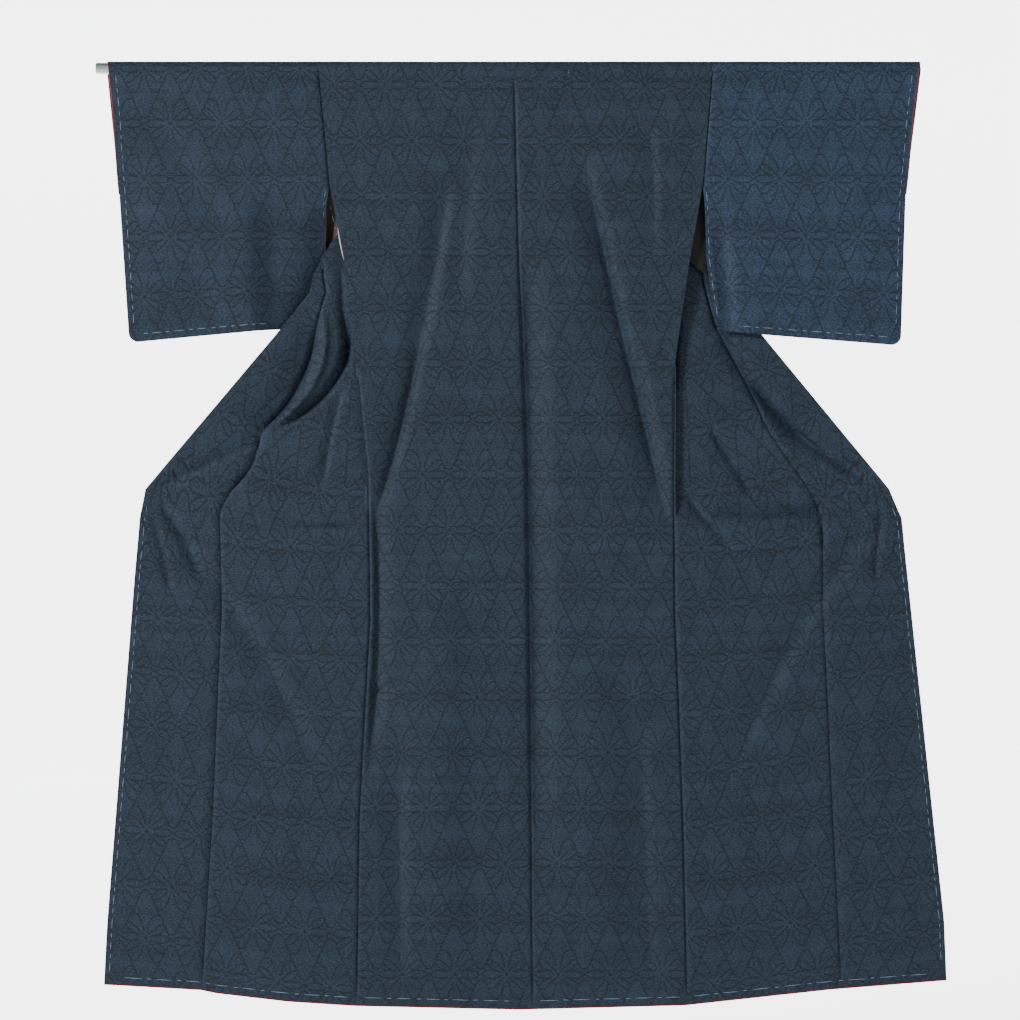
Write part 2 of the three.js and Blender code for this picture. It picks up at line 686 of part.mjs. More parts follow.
const rodGeometry = new THREE.CylinderGeometry(ROD_RADIUS, ROD_RADIUS, ROD_RIGHT - ROD_LEFT, 24);
rodGeometry.rotateZ(Math.PI / 2);
rodGeometry.translate((ROD_LEFT + ROD_RIGHT) / 2, 0, 0);
place("rod", rodGeometry, metal);

export default kimono;
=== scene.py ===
import math
import random

import bmesh
import bpy
import numpy as np
from mathutils import Matrix, Vector


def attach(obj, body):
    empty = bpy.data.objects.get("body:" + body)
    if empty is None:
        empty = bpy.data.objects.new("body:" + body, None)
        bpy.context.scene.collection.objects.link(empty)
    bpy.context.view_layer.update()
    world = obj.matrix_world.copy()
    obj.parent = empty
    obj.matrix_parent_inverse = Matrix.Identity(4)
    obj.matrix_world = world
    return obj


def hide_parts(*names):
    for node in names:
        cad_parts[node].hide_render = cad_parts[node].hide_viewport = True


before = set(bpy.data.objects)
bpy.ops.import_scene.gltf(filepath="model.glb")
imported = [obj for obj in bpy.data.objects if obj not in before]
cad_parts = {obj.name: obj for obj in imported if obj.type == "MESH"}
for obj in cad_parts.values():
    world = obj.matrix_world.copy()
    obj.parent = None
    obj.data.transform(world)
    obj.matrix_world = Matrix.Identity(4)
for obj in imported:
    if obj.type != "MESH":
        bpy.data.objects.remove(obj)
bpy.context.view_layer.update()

# Camera: square on to the garment's back, four metres away, framed on the whole kimono.
# The picture is 1020 pixels square and covers 1.673 metres at the cloth.
MM = 0.001
VIEW_WIDTH = 1673 * MM
VIEW_DISTANCE = 4.0
VIEW_CENTRE = (-6.6 * MM, -724 * MM)
bpy.ops.object.camera_add(
    location=(VIEW_CENTRE[0], -VIEW_DISTANCE, VIEW_CENTRE[1]), rotation=(math.pi / 2, 0, 0))
camera = bpy.context.object
camera.data.sensor_width = 36
camera.data.lens = 36 * VIEW_DISTANCE / VIEW_WIDTH
bpy.context.scene.camera = camera


# Rod: a slim metal tube that runs through both sleeves and carries the shoulders.
# Satin aluminium with a pale end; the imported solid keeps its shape.
def linear(code):
    """An sRGB hex colour as linear red, green, blue and alpha."""
    channels = [int(code[i:i + 2], 16) / 255 for i in (1, 3, 5)]
    return [c / 12.92 if c <= 0.04045 else ((c + 0.055) / 1.055) ** 2.4 for c in channels] + [1.0]


def node(tree, kind, inputs=None, **settings):
    """Adds a node with its settings; an input is a value or another node's output."""
    made = tree.nodes.new(kind)
    for name, value in settings.items():
        setattr(made, name, value)
    for socket, value in (inputs or {}).items():
        if isinstance(value, bpy.types.NodeSocket):
            tree.links.new(value, made.inputs[socket])
        else:
            made.inputs[socket].default_value = value
    return made


def new_material(name):
    """An empty material with its node tree."""
    material = bpy.data.materials.new(name)
    material.use_nodes = True
    material.node_tree.nodes.clear()
    return material, material.node_tree


# Satin anodised aluminium: drawn tube, pale, with a soft broad shine.
aluminium, tree = new_material("satin_aluminium")
shine = node(tree, "ShaderNodeBsdfPrincipled", {
    "Base Color": linear("#c9ccd0"), "Metallic": 1.0, "Roughness": 0.38})
node(tree, "ShaderNodeOutputMaterial", {"Surface": shine.outputs[0]})
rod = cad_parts["rod"]
rod.data.materials.clear()
rod.data.materials.append(aluminium)


# Body widths: each is one length of silk from the hem of the back, over the rod, to the hem of
# the front. Below the slit its two sides are sewn together. The front hangs behind the shoulder,
# is tucked in behind the back, and swings out to the side round a pleat of spare cloth.
CLOTH = 1.5
ROD_RADIUS = 9.5
OVER_ROD = ROD_RADIUS + 0.5 + CLOTH / 2
NECK_HALF = 88
SHOULDER_HALF = 321
NECK_SHARE = NECK_HALF / SHOULDER_HALF
ARMHOLE_Z = -191
SEAM_TOP_Z = -486
CORNER_Z = -60
OKUMI_TIP_Z = -310
OKUMI_FLARE = 0.341
COLLAR_END_Z = -691
PLEAT_END_Z = COLLAR_END_Z - 60
COLLAR_CALM = 30
FLAT_Z = -785
HEM_Z = -1540
FRONT_TOP = 234
SEAM_ROLL = 2

SIDE_EDGE = [
    {"z": 11, "left": 321, "right": 325},
    {"z": -191, "left": 302, "right": 309},
    {"z": -306, "left": 280, "right": 289},
    {"z": -486, "left": 257, "right": 263},
    {"z": -667, "left": 239, "right": 262},
    {"z": -904, "left": 236, "right": 264},
    {"z": -1044, "left": 244, "right": 270},
    {"z": -1236, "left": 254, "right": 277},
    {"z": -1540, "left": 258, "right": 284},
]
FRONT_EDGE = [
    {"z": -60, "left": 88, "right": 99},
    {"z": -281, "left": 298, "right": 280},
    {"z": -339, "left": 329, "right": 328},
    {"z": -367, "left": 335, "right": 350},
    {"z": -429, "left": 384, "right": 401},
    {"z": -691, "left": 605, "right": 616},
    {"z": -736, "left": 613, "right": 635},
    {"z": -826, "left": 621, "right": 644},
    {"z": -1437, "left": 667, "right": 705},
    {"z": -1540, "left": 672, "right": 709},
]
FRONT_WIDTH = [
    {"z": -310, "left": 242, "right": 242},
    {"z": -904, "left": 244, "right": 243},
    {"z": -1236, "left": 240, "right": 245},
    {"z": -1540, "left": 254, "right": 253},
]
CENTRE_SEAM = [
    {"z": 0, "x": 0},
    {"z": -330, "x": 8},
    {"z": -634, "x": 20},
    {"z": -1540, "x": 31},
]
HEM = [
    {"x": -672, "z": -1499},
    {"x": -512, "z": -1508},
    {"x": -490, "z": -1513},
    {"x": -370, "z": -1527},
    {"x": -260, "z": -1534},
    {"x": 10, "z": -1540},
    {"x": 280, "z": -1533},
    {"x": 520, "z": -1507},
    {"x": 709, "z": -1492},
]
BACK_DEPTH = [
    {"z": 0, "y": -OVER_ROD},
    {"z": -400, "y": -8},
    {"z": -800, "y": -4},
    {"z": -1540, "y": -2},
]
LAYER_GAP = [
    {"z": 0, "y": 2 * OVER_ROD},
    {"z": -191, "y": 13},
    {"z": -400, "y": 2 * SEAM_ROLL},
    {"z": -500, "y": 2 * SEAM_ROLL},
]
PLEAT_RADIUS = [
    {"z": -100, "r": 12},
    {"z": -350, "r": 5},
]
EDGE_DEPTH = [
    {"z": -115, "left": 28, "right": 28},
    {"z": -191, "left": 20, "right": 22},
    {"z": -281, "left": 6, "right": 15},
    {"z": -339, "left": 1, "right": 12},
    {"z": -429, "left": 0, "right": 8},
    {"z": -600, "left": -1, "right": 3},
    {"z": -736, "left": -3, "right": -3},
]

# Folds: each runs from its first place over a middle one to its last. A positive depth is a
# trough, seen from the back, and a negative one a ridge. The wall on a fold's left hand, looked
# along it from the first place, is steep, and the other one is as wide as the table says.
STEEP = 0.45
FOLD_STEPS = 16


def fold(start, middle, end, width, depth):
    """A fold of the cloth: places are across and up, in millimetres."""
    return {"start": start, "middle": middle, "end": end, "width": width, "depth": depth}


FOLDS = [
    fold((105, -110), (165, -400), (266, -810), width=26, depth=11),
    fold((122, -170), (172, -420), (262, -770), width=9, depth=7),
    fold((196, -420), (222, -560), (256, -700), width=14, depth=4),
    fold((-104, -150), (-132, -400), (-232, -770), width=22, depth=9),
    fold((-150, -430), (-182, -600), (-232, -755), width=8, depth=7),
    fold((40, -1500), (32, -505), (16, -270), width=24, depth=10),
    fold((-240, -1180), (-212, -900), (-230, -680), width=14, depth=10),
    fold((238, -462), (250, -468), (262, -478), width=5, depth=4),
    fold((-238, -1030), (-205, -1010), (-165, -1000), width=7, depth=5),
    fold((120, -900), (150, -1200), (150, -1540), width=60, depth=-6),
    fold((-120, -800), (-110, -1150), (-120, -1540), width=60, depth=-6),
    fold((-60, -40), (-75, -200), (-95, -420), width=30, depth=4),
    fold((220, -60), (232, -180), (228, -330), width=18, depth=4),
    fold((-180, -1100), (-195, -1300), (-180, -1540), width=24, depth=5),
    fold((205, -1020), (215, -1300), (225, -1540), width=24, depth=5),
]
# Folds of the fronts alone, where they swing out past the back.
FRONT_FOLDS = [
    fold((-275, -385), (-238, -524), (-412, -602), width=9, depth=17),
    fold((-284, -300), (-282, -400), (-268, -520), width=9, depth=9),
    fold((-318, -385), (-275, -515), (-416, -602), width=7, depth=-6),
    fold((-322, -405), (-336, -548), (-430, -602), width=7, depth=10),
    fold((-325, -395), (-340, -548), (-446, -606), width=27, depth=11),
    fold((-400, -610), (-480, -640), (-600, -694), width=14, depth=7),
    fold((-279, -515), (-304, -605), (-316, -700), width=9, depth=5),
    fold((-418, -580), (-414, -655), (-478, -702), width=6, depth=7),
    fold((-590, -722), (-455, -850), (-300, -1190), width=24, depth=6),
    fold((-588, -708), (-545, -740), (-505, -860), width=8, depth=7),
    fold((-596, -730), (-572, -780), (-560, -880), width=7, depth=5),
    fold((-410, -742), (-330, -752), (-246, -746), width=6, depth=6),
    fold((-315, -764), (-280, -776), (-240, -793), width=5, depth=4),
    fold((330, -395), (398, -560), (520, -640), width=17, depth=13),
    fold((385, -500), (440, -600), (612, -690), width=9, depth=9),
    fold((274, -340), (268, -450), (262, -560), width=7, depth=7),
    fold((318, -575), (352, -640), (400, -712), width=8, depth=8),
    fold((276, -684), (305, -735), (372, -800), width=8, depth=7),
    fold((548, -720), (440, -732), (326, -728), width=11, depth=9),
    fold((610, -730), (470, -880), (335, -1220), width=24, depth=6),
    fold((500, -720), (505, -750), (508, -790), width=5, depth=5),
    fold((612, -715), (590, -780), (596, -860), width=7, depth=6),
]
# The seam of the overlap panel is drawn out of line by the pulled folds.
SEAM_SHIFT = [
    {"z": -310, "left": 0, "right": 0},
    {"z": -340, "left": -8, "right": -8},
    {"z": -367, "left": -6, "right": -14},
    {"z": -429, "left": -17, "right": -27},
    {"z": -486, "left": -30, "right": -21},
    {"z": -550, "left": -30, "right": -20},
    {"z": -596, "left": -10, "right": -22},
    {"z": -640, "left": -28, "right": -12},
    {"z": -691, "left": -14, "right": -1},
    {"z": -716, "left": 2, "right": 1},
    {"z": -780, "left": 0, "right": 0},
]
# The cloth's threads turn with the fronts: the turn at the panel's seam, in radians.
GRAIN = [
    {"z": -300, "turn": 0.25},
    {"z": -430, "turn": 0.44},
    {"z": -630, "turn": 0.44},
    {"z": -800, "turn": 0.08},
    {"z": -1540, "turn": 0.05},
]


def read(table, key, column, at):
    """Straight-line reading of a table, held at its ends."""
    rows = sorted(table, key=lambda row: row[key])
    return np.interp(at, [row[key] for row in rows], [row[column] for row in rows])


def soft(start, end, at):
    """A smooth step from 0 at the start to 1 at the end."""
    share = np.clip((np.asarray(at, float) - start) / (end - start), 0, 1)
    return share * share * (3 - 2 * share)


def mix(a, b, share):
    return a + (b - a) * share


def fold_depth(x, z, folds):
    """Depth that the folds add at places on the outer side."""
    t = np.linspace(0, 1, FOLD_STEPS + 1)
    total = np.zeros_like(x)
    for one in folds:
        line_x, line_z = [
            (1 - t) ** 2 * first + 2 * t * (1 - t) * middle + t ** 2 * last
            for first, middle, last in zip(one["start"], one["middle"], one["end"])]
        step_x, step_z = np.diff(line_x), np.diff(line_z)
        off_x = x[..., None] - line_x[:-1]
        off_z = z[..., None] - line_z[:-1]
        share = np.clip((off_x * step_x + off_z * step_z) / (step_x ** 2 + step_z ** 2), 0, 1)
        reach = np.hypot(off_x - share * step_x, off_z - share * step_z)
        nearest = reach.argmin(-1)[..., None]
        along = (nearest + np.take_along_axis(share, nearest, -1))[..., 0] / FOLD_STEPS
        fade = soft(0, 0.25, along) * soft(0, 0.25, 1 - along)
        hand = np.take_along_axis(off_x * step_z - off_z * step_x, nearest, -1)[..., 0]
        width = one["width"] * np.where(hand < 0, STEEP, 1)
        total += one["depth"] * fade * np.exp(-((reach.min(-1) / width) ** 2))
    return total


def outer_depth(x, z):
    """Depth of the side that faces the camera."""
    return read(BACK_DEPTH, "z", "y", z) + soft(-20, -150, z) * fold_depth(x, z, FOLDS)


def front_row(side, z):
    """One row of a front: how far it is tucked in behind the back before it swings out."""
    start = read(SIDE_EDGE, "z", side, z)
    corner = read(FRONT_EDGE, "z", side, CORNER_Z)
    end = read(FRONT_EDGE, "z", side, z)
    if z > CORNER_Z:
        end = mix(NECK_HALF, corner, soft(0, CORNER_Z, z))
    reach = end - start
    okumi = max(0, OKUMI_TIP_Z - max(z, COLLAR_END_Z)) * OKUMI_FLARE
    full = mix(FRONT_TOP, read(FRONT_WIDTH, "z", side, z), soft(CORNER_Z, OKUMI_TIP_Z, z)) + okumi
    cut = mix(abs(reach), full, soft(CORNER_Z, CORNER_Z - 25, z))
    radius = read(PLEAT_RADIUS, "z", "r", z)
    sewn = z <= SEAM_TOP_Z
    roll = SEAM_ROLL if sewn else 0
    length = max(cut, reach) if sewn else cut
    angle = math.pi
    tuck = 0
    if sewn:
        spare = 0 if z < PLEAT_END_Z else length - reach
        if spare < (roll + radius) * math.pi:
            low, high = 0, math.pi
            for _ in range(40):
                angle = (low + high) / 2
                short = (roll + radius) * (angle - math.sin(angle)) < spare
                low, high = (angle, high) if short else (low, angle)
        else:
            tuck = (spare - (roll + radius) * math.pi) / 2
    else:
        low, high = 0, length
        for _ in range(40):
            tuck = (low + high) / 2
            turned = min(math.pi, (length - tuck) / radius)
            out = max(0, length - tuck - math.pi * radius)
            low, high = (tuck, high) if out - tuck - radius * math.sin(turned) > reach else (low, tuck)
    total = reach if sewn and z < PLEAT_END_Z else length
    return {"side": side, "z": z, "start": start, "total": total, "roll": roll, "radius": radius,
            "angle": angle, "tuck": tuck, "sewn": sewn}


def along_row(row, s):
    """Place, depth and swung-out length of a front's row at lengths across the cloth."""
    s = np.asarray(s, float)
    angle, roll, radius = row["angle"], row["roll"], row["radius"]
    across = np.full_like(s, row["start"])
    back = np.full_like(s, 0 if row["sewn"] else read(LAYER_GAP, "z", "y", row["z"]))
    if row["sewn"]:
        turned = np.minimum(s / roll, angle)
        across += roll * np.sin(turned)
        back += roll * (1 - np.cos(turned))
    left = np.maximum(0, s - roll * angle)
    straight = np.minimum(left, row["tuck"])
    across += straight * math.cos(angle)
    left = left - straight
    turned = np.minimum(left / radius, angle)
    across += radius * (math.sin(angle) - np.sin(angle - turned))
    back += radius * (np.cos(angle - turned) - math.cos(angle))
    out = np.maximum(0, left - radius * angle)
    return across + out, back, out


def drop(x, z):
    """Height of a row at a place: the lower rows follow the hem."""
    share = np.clip((FLAT_Z - z) / (FLAT_Z - HEM_Z), 0, 1)
    return np.where(z >= FLAT_Z, z, mix(FLAT_Z, read(HEM, "x", "z", x), share))


def front_points(row, s):
    """Points of a front's row, in millimetres."""
    side, z = row["side"], row["z"]
    across, back, out = along_row(row, s)
    x = across * (-1 if side == "left" else 1)
    heights = np.full_like(x, z)
    base = read(BACK_DEPTH, "z", "y", z)
    turns = (row["roll"] + row["radius"]) * row["angle"]
    run = max(1, row["total"] - turns - row["tuck"])
    share = np.where(out > 0, out / run, 0)
    by_collar = 1 - soft(4, COLLAR_CALM, row["total"] - s)
    calm = 1 - 0.88 * by_collar * soft(COLLAR_END_Z - 110, COLLAR_END_Z - 50, z)
    folds = outer_depth(x, heights) - base
    own = fold_depth(x, heights, FRONT_FOLDS) * soft(0, 30, out)
    tucked = row["angle"] / math.pi
    follows = np.maximum(soft(0, 25, across - row["start"]), max(soft(-250, -420, z), 1 - tucked))
    y = base + back + (folds + own) * calm * follows
    if z > PLEAT_END_Z:
        swung = share * soft(0, 60, run) * soft(CORNER_Z - 40, CORNER_Z - 65, z)
        y += swung * (read(EDGE_DEPTH, "z", side, z) - base - back) * tucked
    return np.stack([x, y, drop(x, z)], -1)


def panel_seam(side, z):
    """Width of a front from its side seam to the seam of the overlap panel."""
    around = z + np.linspace(-18, 18, 7)
    return np.mean(read(FRONT_WIDTH, "z", side, around) + read(SEAM_SHIFT, "z", side, around))


def thread_places(s, seam, z):
    """Places across and down the flat cloth: its weft turns as the front swings out."""
    steps = np.diff(s, prepend=s[0])
    middle = s - steps / 2
    turn = read(GRAIN, "z", "turn", z) * np.clip(middle / seam, 0, 1)
    first = read(GRAIN, "z", "turn", z) / 2 * min(1, s[0] / seam) * s[0]
    across = s[0] + np.cumsum(steps * np.cos(turn))
    return np.stack([across, z - first - np.cumsum(steps * np.sin(turn))], -1)


GROOVE_DEPTH = 3.6
GROOVE_WIDTH = 2.3


def seam_groove(distance, z):
    """Depth of the small valley in which a seam lies; it ends at the hem."""
    return GROOVE_DEPTH * soft(HEM_Z, HEM_Z + 30, z) * np.exp(-((distance / GROOVE_WIDTH) ** 2))


def sheet_object(name, grids, toward):
    """An open cloth from grids of points, cloth coordinates and a material's number. Its outer
    side faces `toward` at the first grid's first corner; grids that share an edge are joined."""
    mesh = bpy.data.meshes.new(name)
    verts = []
    faces = []
    places = []
    looks = []
    for points, flat, look in grids:
        first = len(verts)
        rows, columns = points.shape[:2]
        verts.extend((points.reshape(-1, 3) * MM).tolist())
        places.extend((flat.reshape(-1, 2) * MM).tolist())
        for r in range(rows - 1):
            for c in range(columns - 1):
                at = first + r * columns + c
                faces.append((at, at + 1, at + columns + 1, at + columns))
                looks.append(look)
    mesh.from_pydata(verts, [], faces)
    mesh.polygons.foreach_set("material_index", looks)
    layer = mesh.uv_layers.new(name="cloth")
    for loop in mesh.loops:
        layer.data[loop.index].uv = places[loop.vertex_index]
    made = bmesh.new()
    made.from_mesh(mesh)
    bmesh.ops.remove_doubles(made, verts=made.verts, dist=2e-5)
    bmesh.ops.recalc_face_normals(made, faces=made.faces)
    made.faces.ensure_lookup_table()
    if made.faces[0].normal.dot(toward) < 0:
        bmesh.ops.reverse_faces(made, faces=made.faces)
    made.to_mesh(mesh)
    made.free()
    mesh.polygons.foreach_set("use_smooth", [True] * len(mesh.polygons))
    cloth = bpy.data.objects.new(name, mesh)
    bpy.context.scene.collection.objects.link(cloth)
    return cloth


def wall(cloth, thickness, looks, faced=None):
    """Gives a cloth its thickness. Looks are pairs of an outer and an inner material, and a last
    one for the places on the inner side that are faced."""
    for material in looks:
        cloth.data.materials.append(material)
    bpy.ops.object.select_all(action="DESELECT")
    bpy.context.view_layer.objects.active = cloth
    cloth.select_set(True)
    thick = cloth.modifiers.new("wall", "SOLIDIFY")
    thick.thickness = thickness * MM
    thick.offset = 0
    thick.material_offset = 1
    bpy.ops.object.modifier_apply(modifier=thick.name)
    bpy.ops.object.shade_smooth_by_angle(angle=math.radians(55))
    if faced:
        for face in cloth.data.polygons:
            if face.material_index % 2 == 1 and faced(face.center / MM):
                face.material_index = len(looks) - 1


# Indigo silk with a woven star-and-lozenge kasuri: a resist-dyed weft, blue on near-black. The
# lines have the ragged edges of the weft, and the plain weave has a dry, very faint sheen.
STAR_ACROSS = 85
STAR_DOWN = 91
LINE_HALF = 1.15
DOT_RADIUS = 3.0
LINE_DARKNESS = 0.6
# The long side of the lozenge: how steep it is, and how far down it starts at the star's middle.
LOZENGE_SLOPE = 1.78
LOZENGE_DOWN = 83.5
# One quarter of the repeat, in millimetres from a star's centre: across, down.
STAR_LINES = [
    [(11, 4), (23, 6.6), (34, 5.6), (41, 0)],
    [(12, 5), (24.5, 9.8), (32.5, 18.5)],
    [(5, 6), (14.5, 16.5), (23.5, 24), (30, 24)],
    [(3, 13), (8, 31), (15, 40.5), (22.5, 39.5)],
    [(42.5, 8.5), (37, 10.5), (21.2, 45.5), (9.5, 72), (0, 83)],
]


def kasuri_silk(name, ground, bright, star):
    """The patterned silk, with a star's centre at a place on the piece's own cloth."""
    silk, tree = new_material(name)
    flat = node(tree, "ShaderNodeUVMap", uv_map="cloth")
    grown = node(tree, "ShaderNodeVectorMath", {0: flat.outputs[0], "Scale": 1000}, operation="SCALE")
    place = node(tree, "ShaderNodeSeparateXYZ", {0: grown.outputs[0]})
    across, down = place.outputs[0], place.outputs[1]

    # Each weft thread is dyed a little out of place, so the lines' edges are ragged.
    rows = node(tree, "ShaderNodeMath", {0: down, 1: 1.1}, operation="SNAP")
    thread = node(tree, "ShaderNodeCombineXYZ", {0: across, 1: rows.outputs[0]})
    slip = node(tree, "ShaderNodeTexNoise", {"Vector": thread.outputs[0], "Scale": 0.9, "Detail": 0.0},
                noise_dimensions="2D")
    shift = node(tree, "ShaderNodeMath", {0: slip.outputs[0], 1: 4.6, 2: -2.3 - star[0]},
                 operation="MULTIPLY_ADD")
    moved = node(tree, "ShaderNodeMath", {0: across, 1: shift.outputs[0]}, operation="ADD")
    lowered = node(tree, "ShaderNodeMath", {0: down, 1: star[1]}, operation="SUBTRACT")

    # Fold the cloth's plane into a quarter of the repeat, then turn its far half onto the near
    # one, because the star at the far corner is the same one half a repeat away.
    fold_x = node(tree, "ShaderNodeMath", {0: moved.outputs[0], 1: STAR_ACROSS / 2}, operation="PINGPONG")
    fold_y = node(tree, "ShaderNodeMath", {0: lowered.outputs[0], 1: STAR_DOWN}, operation="PINGPONG")
    slope = node(tree, "ShaderNodeMath", {0: fold_x.outputs[0], 1: LOZENGE_SLOPE, 2: fold_y.outputs[0]},
                 operation="MULTIPLY_ADD")
    far = node(tree, "ShaderNodeMath", {0: slope.outputs[0], 1: LOZENGE_DOWN}, operation="GREATER_THAN")
    near_star = node(tree, "ShaderNodeCombineXYZ", {0: fold_x.outputs[0], 1: fold_y.outputs[0]})
    turned = node(tree, "ShaderNodeVectorMath",
                  {0: (STAR_ACROSS / 2, STAR_DOWN, 0), 1: near_star.outputs[0]}, operation="SUBTRACT")
    spot = node(tree, "ShaderNodeMix", {0: far.outputs[0], 4: near_star.outputs[0], 5: turned.outputs[0]},
                data_type="VECTOR").outputs[1]

    # Distance to the nearest line of the star.
    nearest = node(tree, "ShaderNodeVectorMath", {0: spot}, operation="LENGTH").outputs["Value"]
    nearest = node(tree, "ShaderNodeMath", {0: nearest, 1: DOT_RADIUS - LINE_HALF},
                   operation="SUBTRACT").outputs[0]
    for line in STAR_LINES:
        for (ax, ay), (bx, by) in zip(line, line[1:]):
            length = math.hypot(bx - ax, by - ay)
            from_start = node(tree, "ShaderNodeVectorMath", {0: spot, 1: (ax, ay, 0)}, operation="SUBTRACT")
            share = node(tree, "ShaderNodeVectorMath", {
                0: from_start.outputs[0],
                1: ((bx - ax) / length ** 2, (by - ay) / length ** 2, 0)}, operation="DOT_PRODUCT")
            kept = node(tree, "ShaderNodeClamp", {0: share.outputs["Value"]})
            foot = node(tree, "ShaderNodeVectorMath", {0: (bx - ax, by - ay, 0), "Scale": kept.outputs[0]},
                        operation="SCALE")
            off = node(tree, "ShaderNodeVectorMath", {0: from_start.outputs[0], 1: foot.outputs[0]},
                       operation="DISTANCE")
            nearest = node(tree, "ShaderNodeMath", {0: nearest, 1: off.outputs["Value"]},
                           operation="MINIMUM").outputs[0]
    line = node(tree, "ShaderNodeMapRange", {
        "Value": nearest, "From Min": LINE_HALF - 0.5, "From Max": LINE_HALF + 0.6,
        "To Min": 1.0, "To Max": 0.0})

    # The weft's dashes are 0.5 mm, too fine to show here, so they are drawn 4 mm by 2 mm.
    dashes = node(tree, "ShaderNodeMapping", {0: grown.outputs[0], "Scale": (0.25, 0.5, 1)})
    weave = node(tree, "ShaderNodeTexNoise", {"Vector": dashes.outputs[0], "Scale": 1.0, "Detail": 1.0},
                 noise_dimensions="2D")
    patches = node(tree, "ShaderNodeTexNoise", {"Vector": grown.outputs[0], "Scale": 0.022, "Detail": 2.0},
                   noise_dimensions="2D")
    bars = node(tree, "ShaderNodeMapping", {0: grown.outputs[0], "Scale": (0.004, 0.07, 1)})
    weft_bars = node(tree, "ShaderNodeTexNoise", {"Vector": bars.outputs[0], "Scale": 1.0, "Detail": 1.0},
                     noise_dimensions="2D")
    slow = node(tree, "ShaderNodeMath", {0: patches.outputs[0], 1: weft_bars.outputs[0]}, operation="ADD")
    level = node(tree, "ShaderNodeMath", {0: weave.outputs[0], 1: 4.6, 2: slow.outputs[0]},
                 operation="MULTIPLY_ADD")
    tone = node(tree, "ShaderNodeMapRange", {"Value": level.outputs[0], "From Min": 2.3, "From Max": 4.3})
    dyed = node(tree, "ShaderNodeMix", {0: tone.outputs[0], 6: linear(ground), 7: linear(bright)},
                data_type="RGBA")
    depth = node(tree, "ShaderNodeMath", {0: line.outputs[0], 1: LINE_DARKNESS}, operation="MULTIPLY")
    woven = node(tree, "ShaderNodeMix", {0: depth.outputs[0], 6: dyed.outputs[2], 7: linear("#0b0e12")},
                 data_type="RGBA")
    grain = node(tree, "ShaderNodeBump", {"Height": weave.outputs[0], "Strength": 0.25, "Distance": 0.0004})
    cloth = node(tree, "ShaderNodeBsdfPrincipled", {
        "Base Color": woven.outputs[2], "Roughness": 0.72, "Specular IOR Level": 0.25,
        "Sheen Weight": 0.12, "Sheen Roughness": 0.5, "Normal": grain.outputs[0]})
    cloth.inputs["Sheen Tint"].default_value = linear("#7f93a8")
    node(tree, "ShaderNodeOutputMaterial", {"Surface": cloth.outputs[0]})
    return silk


def lining_silk(name, colour, shade):
    """Plain woven silk lining with a soft satin sheen, one colour and slightly uneven."""
    silk, tree = new_material(name)
    flat = node(tree, "ShaderNodeUVMap", uv_map="cloth")
    stretched = node(tree, "ShaderNodeMapping", {0: flat.outputs[0], "Scale": (600, 90, 1)})
    threads = node(tree, "ShaderNodeTexNoise", {"Vector": stretched.outputs[0], "Scale": 1.0, "Detail": 2.0},
                   noise_dimensions="2D")
    dyed = node(tree, "ShaderNodeMix", {0: threads.outputs[0], 6: linear(shade), 7: linear(colour)},
                data_type="RGBA")
    satin = node(tree, "ShaderNodeBsdfPrincipled", {
        "Base Color": dyed.outputs[2], "Roughness": 0.55, "Specular IOR Level": 0.35,
        "Sheen Weight": 0.2, "Sheen Roughness": 0.4})
    node(tree, "ShaderNodeOutputMaterial", {"Surface": satin.outputs[0]})
    return silk


body_silk = kasuri_silk("kasuri_silk_back", "#151f28", "#293847", (0, -484))
front_silk = kasuri_silk("kasuri_silk_front", "#151f28", "#293848", (44, -788))
white_lining = lining_silk("white_lining_silk", "#c9c4bb", "#b9b3aa")
red_lining = lining_silk("red_lining_silk", "#64131f", "#4f0f1a")

BODY_ROWS = np.unique(np.round(-np.concatenate([
    np.arange(0, 120, 5), np.arange(120, 785, 6.5), np.linspace(785, 1540, 84),
    [16, 60, 191, 310, 486, 691, 751]]), 2))[::-1]
HEM_FACING = 480
TUCK_COLUMNS = 10
PLEAT_COLUMNS = 10
SWING_COLUMNS = 60
FRONT_COLUMNS = 4 + TUCK_COLUMNS + PLEAT_COLUMNS + SWING_COLUMNS
NECK_COLUMNS = 30


def front_places(row, last):
    """Where a front's columns lie across the cloth: close at the pleat's turns, and even where
    there is none."""
    radius = row["radius"]
    turn = max(radius * row["angle"], 3 * radius)
    roll_end = 3 * SEAM_ROLL if row["sewn"] else 4
    pleat_end = min(roll_end + max(row["tuck"], 8) + turn, last - 9)
    shaped = np.concatenate([
        np.linspace(0, roll_end, 4, endpoint=False),
        np.linspace(roll_end, pleat_end - turn, TUCK_COLUMNS, endpoint=False),
        np.linspace(pleat_end - turn, pleat_end, PLEAT_COLUMNS, endpoint=False),
        np.linspace(pleat_end, last, SWING_COLUMNS + 1)])
    even = np.linspace(0, last, FRONT_COLUMNS + 1)
    z = row["z"]
    pleated = soft(CORNER_Z, CORNER_Z - 60, z) * (1 - soft(FLAT_Z, FLAT_Z - 420, z))
    return mix(even, shaped, pleated)


